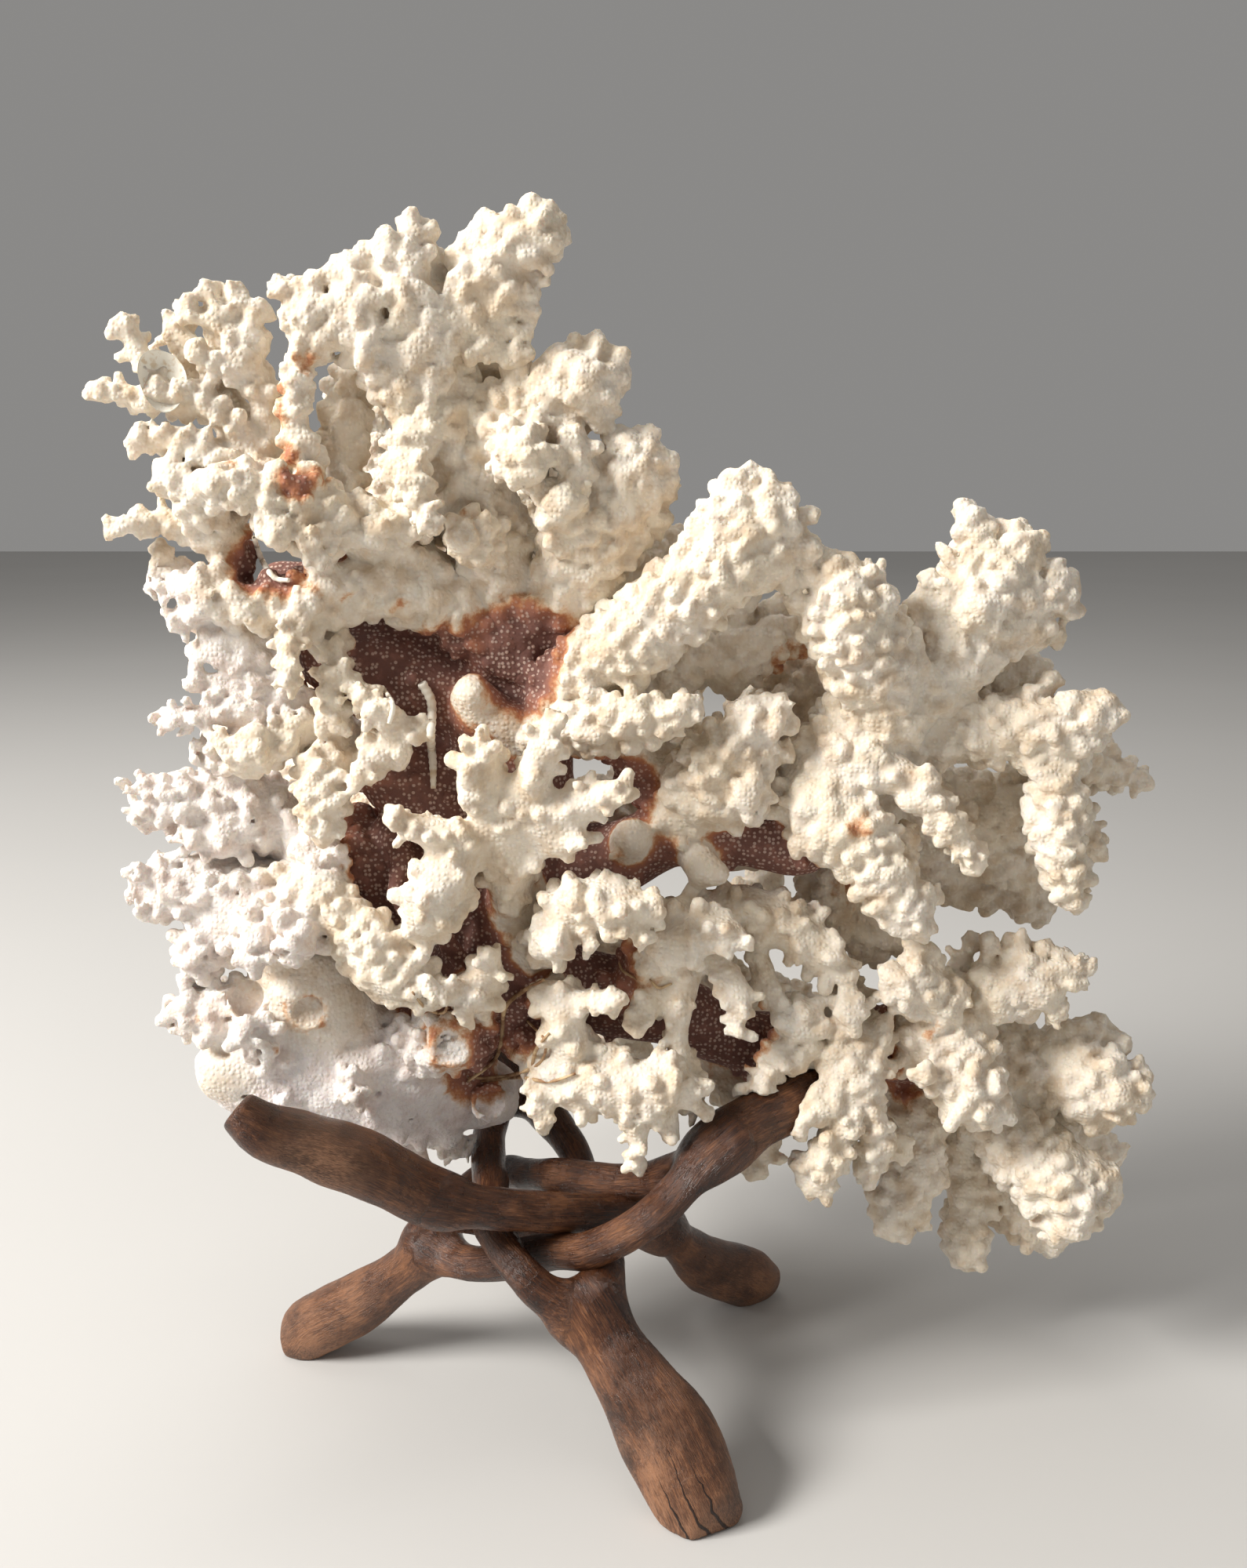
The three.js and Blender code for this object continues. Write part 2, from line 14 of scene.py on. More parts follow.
import bpy
import numpy as np
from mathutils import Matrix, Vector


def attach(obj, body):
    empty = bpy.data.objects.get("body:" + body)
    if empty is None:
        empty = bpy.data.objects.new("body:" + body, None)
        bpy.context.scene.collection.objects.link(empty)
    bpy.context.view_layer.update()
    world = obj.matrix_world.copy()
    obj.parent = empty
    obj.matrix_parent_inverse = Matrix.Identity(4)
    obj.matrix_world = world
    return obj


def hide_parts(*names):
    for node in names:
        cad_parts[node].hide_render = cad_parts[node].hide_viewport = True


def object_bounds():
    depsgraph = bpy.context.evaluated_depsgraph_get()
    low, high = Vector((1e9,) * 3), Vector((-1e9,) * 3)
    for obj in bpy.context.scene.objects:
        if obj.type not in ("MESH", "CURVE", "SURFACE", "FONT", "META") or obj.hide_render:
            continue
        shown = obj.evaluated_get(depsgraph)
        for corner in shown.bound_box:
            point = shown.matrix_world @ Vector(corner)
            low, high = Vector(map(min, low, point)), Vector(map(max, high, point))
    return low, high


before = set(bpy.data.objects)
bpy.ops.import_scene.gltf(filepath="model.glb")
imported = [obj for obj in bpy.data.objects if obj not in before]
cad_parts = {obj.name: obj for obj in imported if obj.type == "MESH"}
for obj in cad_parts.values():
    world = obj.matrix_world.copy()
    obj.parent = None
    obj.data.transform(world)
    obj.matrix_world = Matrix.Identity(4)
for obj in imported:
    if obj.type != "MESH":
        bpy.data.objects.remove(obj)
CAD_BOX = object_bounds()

import openvdb
from mathutils import Vector

LOG = logging.getLogger("coral")
MM = 0.001
ROUNDING = 1e-4
BODY = "root"
Colour = tuple[float, float, float]
Point = tuple[float, ...]


class Skin(Enum):
    """How a stretch of the colony is covered."""

    KNOBBLY = auto()
    LOBED = auto()
    SMOOTH = auto()
    CHALK = auto()
    SADDLE = auto()
    STEM = auto()


@dataclass(frozen=True)
class Cover:
    """What a skin does to a limb: its lumps, its knobs and its tint.

    Lumps are the heights, in mm, of the broad, middle and fine unevenness. The core is what the limb's own
    body is slimmer than its outline by, in mm, which the knobs make up.
    """

    lumps: tuple[float, float, float]
    core: float
    knob_share: float
    stain: float
    chalk: float


COVERS = {
    Skin.KNOBBLY: Cover((1.0, 0.25, 0.0), 1.8, 0.92, 0.0, 0.0),
    Skin.LOBED: Cover((1.3, 0.6, 0.0), 1.2, 0.5, 0.0, 0.0),
    Skin.SMOOTH: Cover((0.6, 0.5, 0.0), 0.0, 0.0, 0.0, 0.12),
    Skin.CHALK: Cover((1.0, 0.5, 0.15), 1.2, 0.8, 0.03, 0.7),
    Skin.SADDLE: Cover((1.3, 0.9, 0.4), 0.2, 0.1, 0.0, 1.0),
    Skin.STEM: Cover((1.0, 0.35, 0.0), 0.3, 0.04, 1.0, 0.0),
}


@dataclass(frozen=True)
class Growth:
    """The colony's own measure, in mm.

    Limbs are laid out on its middle plane and carried fore or aft along lines to a focus in front of the
    colony, so the front outline stays as laid out.
    """

    focus_distance: float = 304.0
    focus_height: float = 217.0
    centre: tuple[float, float] = (7.736, 5.448)

    def carry(self, point: Point) -> tuple[np.ndarray, float]:
        """Puts a limb's point in its true place.

        Args:
            point: across, up, depth behind the middle plane, and radius.

        Returns:
            The place and the radius there.
        """
        across, up, depth, radius = point
        spread = (self.focus_distance + depth) / self.focus_distance
        place = (across * spread - self.centre[0], depth - self.centre[1],
                 self.focus_height + (up - self.focus_height) * spread)
        return np.array(place), radius * spread

    def focus(self) -> np.ndarray:
        """The true place of the focus."""
        return np.array((0.0 - self.centre[0], -self.focus_distance - self.centre[1], self.focus_height))

    def settle(self, point: Point) -> np.ndarray:
        """Puts a point of the stand in the frame whose origin is under the object's middle."""
        return np.array((point[0] - self.centre[0], point[1] - self.centre[1], point[2]))


GROWTH = Growth()


@dataclass(frozen=True)
class Limb:
    """One limb: its points, and its skin where that isn't its bough's own."""

    points: tuple[Point, ...]
    skin: Skin | None = None

    def stops(self) -> list[tuple[np.ndarray, float]]:
        """The limb's points in their true places, each with its radius."""
        return [GROWTH.carry(point) for point in self.points]


def limbs(*rows: tuple[Point, ...] | Limb) -> tuple[Limb, ...]:
    """Makes a limb of each row of points, leaving those that are limbs already."""
    return tuple(row if isinstance(row, Limb) else Limb(row) for row in rows)


@dataclass(frozen=True)
class Bough:
    """One piece of the colony: the CAD node it stands for, its material slot, its skin and its limbs."""

    node: str
    slot: str
    skin: Skin
    limbs: tuple[Limb, ...]


@dataclass(frozen=True)
class Spot:
    """A stained patch: its middle and radius, laid out as a limb's point, and how strong it is."""

    point: Point
    amount: float


@dataclass
class Block:
    """A box of evenly spaced samples that lines up with every other box of the same step (mm)."""

    step: float
    first: np.ndarray
    values: np.ndarray

    @classmethod
    def spanning(cls, low: np.ndarray, high: np.ndarray, step: float, fill: float) -> "Block":
        """Makes a box from corner to corner, filled with one value.

        Args:
            low: the lowest corner.
            high: the highest corner.
            step: the distance between samples.
            fill: the value.

        Returns:
            The box.
        """
        first = np.floor(low / step + ROUNDING).astype(int)
        last = np.ceil(high / step - ROUNDING).astype(int)
        return cls(step, first, np.full(tuple(last - first + 1), fill, np.float32))

    def window(self, low: np.ndarray, high: np.ndarray) -> tuple[slice, ...]:
        """Finds the samples between two corners, which may be none.

        Args:
            low: the lowest corner.
            high: the highest corner.

        Returns:
            One slice for each axis.
        """
        start = np.floor(np.asarray(low) / self.step).astype(int) - self.first
        stop = np.ceil(np.asarray(high) / self.step).astype(int) - self.first + 1
        size = self.values.shape
        return tuple(slice(min(max(a, 0), n), min(max(b, 0), n)) for a, b, n in zip(start, stop, size))

    def axes(self, window: tuple[slice, ...]) -> tuple[np.ndarray, np.ndarray, np.ndarray]:
        """The samples' x, y and z in a window, shaped so that they combine into a grid.

        Args:
            window: the samples, as slices.

        Returns:
            x, y and z.
        """
        x, y, z = (((np.arange(s.start, s.stop) + f) * self.step).astype(np.float32)
                   for s, f in zip(window, self.first))
        return x[:, None, None], y[None, :, None], z[None, None, :]

    def shared(self, other: "Block") -> tuple[slice, ...]:
        """The part of this box that another box covers.

        Args:
            other: the other box.

        Returns:
            One slice of this box's samples for each axis.
        """
        start = np.maximum(other.first - self.first, 0)
        stop = np.minimum(other.first + other.values.shape - self.first, self.values.shape)
        return tuple(slice(a, max(a, b)) for a, b in zip(start, stop))

    def matching(self, window: tuple[slice, ...], other: "Block") -> tuple[slice, ...]:
        """Where a window's samples are in another box that holds them all.

        Args:
            window: this box's samples, as slices.
            other: the other box.

        Returns:
            One slice of the other box's samples for each axis.
        """
        shift = self.first - other.first
        return tuple(slice(s.start + d, s.stop + d) for s, d in zip(window, shift))

    def sample(self, points: np.ndarray) -> np.ndarray:
        """The field's value at each point, blended between the eight nearest samples.

        Args:
            points: one row for each point, in mm.

        Returns:
            One value for each point.
        """
        place = points / self.step - self.first
        limit = np.array(self.values.shape) - 2
        cell = np.clip(np.floor(place).astype(int), 0, limit)
        part = np.clip(place - cell, 0.0, 1.0)
        total = np.zeros(len(points))
        for corner in np.ndindex(2, 2, 2):
            index = cell + corner
            weight = np.prod(np.where(corner, part, 1.0 - part), axis=1)
            total += weight * self.values[index[:, 0], index[:, 1], index[:, 2]]
        return total


def too_thin(window: tuple[slice, ...], least: int = 2) -> bool:
    """Whether a window has too few samples along any axis."""
    return any(s.stop - s.start < least for s in window)


def melt(one: np.ndarray, two: np.ndarray, soft: float) -> np.ndarray:
    """Joins two fields with a fillet.

    Args:
        one: the first field.
        two: the second field.
        soft: the fillet's size in mm.

    Returns:
        The joined field.
    """
    overlap = np.maximum(soft - np.abs(one - two), 0.0)
    return np.minimum(one, two) - overlap * overlap * (0.25 / soft)


def rod(axes: Sequence[np.ndarray], start: np.ndarray, end: np.ndarray, thick: float,
        thin: float) -> np.ndarray:
    """Distance from a tapering rod with round ends.

    Args:
        axes: x, y and z of the samples.
        start: one end's middle.
        end: the other end's middle.
        thick: the radius at the start.
        thin: the radius at the end.

    Returns:
        The distance at each sample, negative inside.
    """
    x, y, z = axes
    run = (end - start).astype(np.float32)
    along = (x - start[0]) * run[0] + (y - start[1]) * run[1] + (z - start[2]) * run[2]
    along = along / max(run @ run, 1e-6)
    np.clip(along, 0.0, 1.0, out=along)
    dx = x - (start[0] + along * run[0])
    dy = y - (start[1] + along * run[1])
    dz = z - (start[2] + along * run[2])
    return (np.sqrt(dx * dx + dy * dy + dz * dz) - (thick + along * (thin - thick))).astype(np.float32)


@dataclass
class Lumps:
    """Smooth random values from -1 to 1 that change over a given distance."""

    cell: float
    seed: int
    low: tuple[float, float, float] = (-160.0, -110.0, -30.0)
    high: tuple[float, float, float] = (160.0, 110.0, 300.0)
    lattice: np.ndarray = field(init=False)

    def __post_init__(self) -> None:
        """Draws the lattice of random values."""
        counts = [int((b - a) / self.cell) + 3 for a, b in zip(self.low, self.high)]
        self.lattice = np.random.default_rng(self.seed).uniform(-1.0, 1.0, counts).astype(np.float32)

    def over(self, block: Block) -> np.ndarray:
        """The values at every sample of a box.

        Args:
            block: the box.

        Returns:
            An array of the same shape as the box's samples.
        """
        values = self.lattice
        for axis in range(3):
            samples = (np.arange(block.values.shape[axis]) + block.first[axis]) * block.step
            place = (samples - self.low[axis]) / self.cell
            cell = np.floor(place).astype(int)
            part = (place - cell).astype(np.float32)
            part = part * part * (3.0 - 2.0 * part)
            shape = [1, 1, 1]
            shape[axis] = -1
            part = part.reshape(shape)
            values = np.take(values, cell, axis) * (1.0 - part) + np.take(values, cell + 1, axis) * part
        return values


def unit(vector: np.ndarray) -> np.ndarray:
    """The vector, or each row of vectors, at length one."""
    return vector / np.maximum(np.linalg.norm(vector, axis=-1, keepdims=True), 1e-9)


def frame_across(along: np.ndarray) -> tuple[np.ndarray, np.ndarray]:
    """Two directions square to a given one and to each other.

    Args:
        along: the given direction.

    Returns:
        The two directions.
    """
    helper = np.eye(3)[int(np.argmin(np.abs(along)))]
    wide = unit(np.cross(along, helper))
    return wide, np.cross(wide, along)


def smooth_line(points: Sequence[np.ndarray], step: float) -> np.ndarray:
    """Draws a smooth line through points.

    Args:
        points: the points, each with any further values that are to change along the line.
        step: the spacing of the line's own points, in mm.

    Returns:
        One row for each point on the line.
    """
    rows = np.array(points, float)
    padded = np.vstack([2 * rows[0] - rows[1], rows, 2 * rows[-1] - rows[-2]])
    line = []
    for i in range(1, len(padded) - 2):
        before, start, end, after = padded[i - 1:i + 3]
        count = max(int(np.ceil(np.linalg.norm(end[:3] - start[:3]) / step)), 1)
        t = (np.arange(count) / count)[:, None]
        square = (2 * before - 5 * start + 4 * end - after) * t ** 2
        cube = (3 * start - before - 3 * end + after) * t ** 3
        line.append(0.5 * (2 * start + (end - before) * t + square + cube))
    return np.vstack([*line, rows[-1:]])


def new_object(name: str, points: np.ndarray, *faces: np.ndarray) -> bpy.types.Object:
    """Makes a smooth-shaded mesh object.

    Args:
        name: the object's name.
        points: the vertices in mm.
        faces: one row of vertex numbers for each face, in an array for each number of sides.

    Returns:
        The object, linked into the scene.
    """
    mesh = bpy.data.meshes.new(name)
    corners = np.concatenate([array.ravel() for array in faces])
    sides = np.concatenate([np.full(len(array), array.shape[1]) for array in faces])
    mesh.vertices.add(len(points))
    mesh.vertices.foreach_set("co", (points * MM).astype(np.float32).ravel())
    mesh.loops.add(len(corners))
    mesh.loops.foreach_set("vertex_index", corners.astype(np.int32))
    mesh.polygons.add(len(sides))
    mesh.polygons.foreach_set("loop_start", (np.cumsum(sides) - sides).astype(np.int32))
    mesh.polygons.foreach_set("use_smooth", np.ones(len(sides), bool))
    mesh.update(calc_edges=True)
    mesh.validate()
    piece = bpy.data.objects.new(name, mesh)
    bpy.context.scene.collection.objects.link(piece)
    return piece


def drop_crumbs(points: np.ndarray, faces: Sequence[np.ndarray],
                least: int = 200) -> tuple[np.ndarray, list[np.ndarray]]:
    """Leaves out the small loose bits of a surface.

    Args:
        points: the surface's vertices.
        faces: the surface's faces, in an array for each number of sides.
        least: the number of vertices that a bit needs to be kept.

    Returns:
        The vertices and faces that are left.
    """
    label = np.arange(len(points))
    while True:
        lower = label.copy()
        for array in faces:
            lowest = label[array].min(axis=1)
            for corner in array.T:
                np.minimum.at(lower, corner, lowest)
        lower = lower[lower]
        if np.array_equal(lower, label):
            break
        label = lower
    keep = np.bincount(label, minlength=len(points))[label] >= least
    number = np.cumsum(keep) - 1
    return points[keep], [number[array[keep[array[:, 0]]]] for array in faces]


def draw_surface(name: str, block: Block, outside: float, ease: float) -> bpy.types.Object:
    """Draws the surface where a field is zero.

    Args:
        name: the new object's name.
        block: the field.
        outside: the field's value far from the surface.
        ease: how readily nearly flat faces are joined into larger ones.

    Returns:
        The object.
    """
    grid = openvdb.FloatGrid(outside)
    grid.copyFromArray(np.ascontiguousarray(block.values))
    points, triangles, quads = grid.convertToPolygons(0.0, ease)
    points, faces = drop_crumbs(points, (triangles, quads))
    return new_object(name, (points + block.first) * block.step, *(array[:, ::-1] for array in faces))


def vertex_arrays(piece: bpy.types.Object) -> tuple[np.ndarray, np.ndarray]:
    """A mesh's vertices in mm, and its vertex normals.

    Args:
        piece: the mesh object.

    Returns:
        The vertices and the normals, one row each.
    """
    mesh = piece.data
    count = len(mesh.vertices)
    points = np.empty(count * 3, np.float32)
    normals = np.empty(count * 3, np.float32)
    mesh.vertices.foreach_get("co", points)
    mesh.vertex_normals.foreach_get("vector", normals)
    return points.reshape(-1, 3) / MM, normals.reshape(-1, 3)


def write_values(piece: bpy.types.Object, name: str, values: np.ndarray) -> None:
    """Stores a number, or a vector, for each vertex under a name that a material can read.

    Args:
        piece: the mesh object.
        name: the name.
        values: one number or one row for each vertex.
    """
    kind, key = ("FLOAT", "value") if values.ndim == 1 else ("FLOAT_VECTOR", "vector")
    layer = piece.data.attributes.new(name, kind, "POINT")
    layer.data.foreach_set(key, values.astype(np.float32).ravel())


def fit_out(piece: bpy.types.Object, nodes: Iterable[str], material: bpy.types.Material) -> None:
    """Dresses a piece, ties it to the body and hides the CAD nodes that it stands for.

    Args:
        piece: the finished object.
        nodes: the CAD nodes that it replaces.
        material: its finish.
    """
    piece.data.materials.append(material)
    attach(piece, BODY)
    for node in nodes:
        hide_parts(node)
    LOG.info("%s: %d faces", piece.name, len(piece.data.polygons))


@dataclass
class Bench:
    """Lays out a material's nodes."""

    tree: bpy.types.NodeTree

    @classmethod
    def fresh(cls, name: str) -> tuple["Bench", bpy.types.Material, bpy.types.Node]:
        """Starts a material.

        Args:
            name: the material's name.

        Returns:
            The bench, the material and its surface shader.
        """
        material = bpy.data.materials.new(name)
        material.use_nodes = True
        return cls(material.node_tree), material, material.node_tree.nodes["Principled BSDF"]

    def put(self, kind: str, **settings: object) -> bpy.types.Node:
        """Adds a node and sets its own options.

        Args:
            kind: the node's type.
            settings: its own options.

        Returns:
            The node.
        """
        node = self.tree.nodes.new(kind)
        for key, value in settings.items():
            setattr(node, key, value)
        return node

    def feed(self, socket: bpy.types.NodeSocket, value: object) -> None:
        """Links an output to a socket, or sets the socket to a plain value.

        Args:
            socket: the socket.
            value: the output or the plain value.
        """
        if isinstance(value, bpy.types.NodeSocket):
            self.tree.links.new(value, socket)
        else:
            socket.default_value = value

    def maths(self, operation: str, *values: object, clamp: bool = False) -> bpy.types.NodeSocket:
        """A sum on numbers, each an output or a plain value.

        Args:
            operation: the kind of sum.
            values: the numbers.
            clamp: whether the result is held between 0 and 1.

        Returns:
            The result.
        """
        node = self.put("ShaderNodeMath", operation=operation, use_clamp=clamp)
        for socket, value in zip(node.inputs, values):
            self.feed(socket, value)
        return node.outputs[0]

    def read(self, name: str) -> bpy.types.NodeSocket:
        """The value stored on the vertices under a name."""
        return self.put("ShaderNodeAttribute", attribute_name=name).outputs["Fac"]

    def spread(self, value: object, low: float, high: float, to_low: float = 0.0,
               to_high: float = 1.0) -> bpy.types.NodeSocket:
        """Maps a value smoothly from one range to another, held at the ends.

        Args:
            value: the value.
            low: where the first range starts.
            high: where it ends.
            to_low: where the second range starts.
            to_high: where it ends.

        Returns:
            The mapped value.
        """
        node = self.put("ShaderNodeMapRange", interpolation_type="SMOOTHSTEP")
        for socket, number in zip(node.inputs, (value, low, high, to_low, to_high)):
            self.feed(socket, number)
        return node.outputs[0]

    def mix(self, share: object, one: object, two: object) -> bpy.types.NodeSocket:
        """Mixes two colours, each an output or a plain colour.

        Args:
            share: how much of the second colour is taken.
            one: the first colour.
            two: the second colour.

        Returns:
            The mixed colour.
        """
        node = self.put("ShaderNodeMix", data_type="RGBA")
        self.feed(node.inputs[0], share)
        for socket, value in ((node.inputs[6], one), (node.inputs[7], two)):
            self.feed(socket, value if isinstance(value, bpy.types.NodeSocket) else (*value, 1.0))
        return node.outputs[2]

    def noise(self, vector: object, scale: float, detail: float = 2.0, rough: float = 0.5,
              warp: float = 0.0) -> bpy.types.NodeSocket:
        """Soft random values over a vector.

        Args:
            vector: the place.
            scale: how fine the values are.
            detail: how many finer layers are added.
            rough: how strong the finer layers are.
            warp: how far the values are swirled.

        Returns:
            Values from 0 to 1.
        """
        node = self.put("ShaderNodeTexNoise")
        self.feed(node.inputs["Vector"], vector)
        for key, value in (("Scale", scale), ("Detail", detail), ("Roughness", rough), ("Distortion", warp)):
            node.inputs[key].default_value = value
        return node.outputs["Fac"]

    def cells(self, vector: object, scale: float, jitter: float) -> bpy.types.NodeSocket:
        """A pattern of cells over a vector.

        Args:
            vector: the place.
            scale: the number of cells in a unit of length.
            jitter: how unevenly they are spaced, from 0 to 1.

        Returns:
            The distance from the nearest cell's middle, in cells.
        """
        node = self.put("ShaderNodeTexVoronoi", feature="F1")
        self.feed(node.inputs["Vector"], vector)
        node.inputs["Scale"].default_value = scale
        node.inputs["Randomness"].default_value = jitter
        return node.outputs["Distance"]

    def ramp(self, value: object, stops: Sequence[tuple[float, Colour]]) -> bpy.types.NodeSocket:
        """Runs a value through a row of colours.

        Args:
            value: the value.
            stops: the places and colours of the row.

        Returns:
            The colour.
        """
        node = self.put("ShaderNodeValToRGB")
        self.feed(node.inputs[0], value)
        row = node.color_ramp.elements
        while len(row) < len(stops):
            row.new(0.5)
        for element, (place, colour) in zip(row, stops):
            element.position = place
            element.color = (*colour, 1.0)
        return node.outputs[0]

    def bump(self, height: object, distance: float, strength: float,
             normal: object | None = None) -> bpy.types.NodeSocket:
        """Turns a height into surface relief.

        Args:
            height: the height.
            distance: how high a height of 1 is, in metres.
            strength: how much the relief shows.
            normal: the relief beneath it, if there is any.

        Returns:
            The relief, as a normal.
        """
        node = self.put("ShaderNodeBump")
        self.feed(node.inputs["Height"], height)
        node.inputs["Distance"].default_value = distance
        node.inputs["Strength"].default_value = strength
        if normal is not None:
            self.feed(node.inputs["Normal"], normal)
        return node.outputs[0]


@dataclass(frozen=True)
class CoralFinish:
    """Porous coral skeleton, pale where clean and rust to purple-brown where stained, with cups all over.
    Painted shade, partly dirt, darkens it between its raised cups, in its nooks and deep inside the colony.
    """

    name: str
    pale: Colour = (0.86, 0.80, 0.68)
    fresh: Colour = (0.90, 0.865, 0.79)
    # shade and mauve are the tones of painted shade, partly dirt, on cream and on chalky parts
    shade: Colour = (0.56, 0.41, 0.26)
    bleached: Colour = (0.93, 0.915, 0.90)
    mauve: Colour = (0.64, 0.52, 0.49)
    speck: Colour = (0.55, 0.27, 0.12)
    stains: tuple[tuple[float, Colour], ...] = (
        (0.10, (0.78, 0.66, 0.49)), (0.28, (0.62, 0.36, 0.18)), (0.46, (0.42, 0.17, 0.085)),
        (0.62, (0.32, 0.135, 0.090)), (0.85, (0.25, 0.115, 0.088)), (1.0, (0.17, 0.078, 0.062)),
    )
    stained_cup: Colour = (0.66, 0.50, 0.42)
    pore: Colour = (0.42, 0.33, 0.27)
    sheen: float = 0.32
    glow: float = 0.35
    glow_radius: Colour = (1.0, 0.72, 0.45)
    glow_depth: float = 0.002
    cup_spacing: float = 1.1
    cup_jitter: float = 0.6
    cup_depth: float = 0.00024

    def material(self) -> bpy.types.Material:
        """Builds the finish.

        Returns:
            The material.
        """
        bench, material, shader = Bench.fresh(self.name)
        place = bench.put("ShaderNodeTexCoord").outputs["Object"]
        stain, chalk = bench.read("stain"), bench.read("chalk")
        nook, hollow = bench.read("nook"), bench.read("hollow")
        per_metre = 1.0 / (self.cup_spacing * MM)
        middle = bench.cells(place, per_metre, self.cup_jitter)
        broad = bench.noise(place, 70.0, 3.0)
        patchy = bench.noise(place, 190.0, 4.0, 0.6)
        grit = bench.noise(place, 2400.0, 3.0, 0.65)

        clean = bench.mix(bench.spread(broad, 0.35, 0.62), self.pale, self.fresh)
        clean = bench.mix(bench.maths("MULTIPLY", chalk, 0.9), clean, self.bleached)
        # Painted shade, partly dirt: the colour goes towards the shade tone (mauve on chalk) faintly between
        # the raised cups, and in patches in nooks and deep inside the colony.
        shade_and_dirt = bench.mix(chalk, self.shade, self.mauve)
        in_nook, in_hollow = bench.maths("MULTIPLY", nook, 0.35), bench.maths("MULTIPLY", hollow, 0.42)
        depth = bench.maths("ADD", in_nook, in_hollow)
        blotch = bench.spread(patchy, 0.42, 0.68, 0.35, 0.9)
        clean = bench.mix(bench.spread(middle, 0.36, 0.60, 0.0, 0.10), clean, shade_and_dirt)
        clean = bench.mix(bench.maths("MULTIPLY", depth, blotch, clamp=True), clean, shade_and_dirt)
        sheltered = bench.spread(hollow, 0.3, 0.8, 0.0, 0.35)
        specks = bench.maths("MULTIPLY", bench.spread(patchy, 0.70, 0.80), sheltered)
        clean = bench.mix(specks, clean, self.speck)

        ragged = bench.noise(place, 330.0, 4.0, 0.62)
        level = bench.maths("ADD", stain, bench.maths("MULTIPLY_ADD", ragged, 0.85, -0.425))
        stained = bench.ramp(level, self.stains)
        cups = bench.spread(middle, 0.42, 0.25)
        cup_tint = bench.maths("MULTIPLY", cups, bench.spread(level, 0.30, 0.75, 0.05, 0.62))
        stained = bench.mix(cup_tint, stained, self.stained_cup)
        amount = bench.spread(level, 0.14, 0.42)
        colour = bench.mix(amount, clean, stained)
        bare = bench.spread(chalk, 0.2, 0.9, 0.0, 0.22)
        pores = bench.maths("MULTIPLY", bench.spread(middle, 0.16, 0.08), bare)
        colour = bench.mix(pores, colour, self.pore)
        bench.feed(shader.inputs["Base Color"], colour)

        relief = bench.bump(bench.spread(middle, 0.62, 0.10), self.cup_depth, 0.7)
        relief = bench.bump(grit, 0.00008, 0.35, relief)
        relief = bench.bump(bench.noise(place, 380.0, 2.0, 0.5), 0.0005, 0.15, relief)
        crumbly = bench.maths("MULTIPLY", bench.noise(place, 300.0, 5.0, 0.68), chalk)
        relief = bench.bump(crumbly, 0.0016, 0.55, relief)
        bench.feed(shader.inputs["Normal"], relief)
        bench.feed(shader.inputs["Roughness"], bench.spread(grit, 0.3, 0.7, 0.62, 0.9))
        shader.inputs["Specular IOR Level"].default_value = self.sheen
        shader.inputs["Subsurface Weight"].default_value = self.glow
        shader.inputs["Subsurface Radius"].default_value = self.glow_radius
        shader.inputs["Subsurface Scale"].default_value = self.glow_depth
        return material


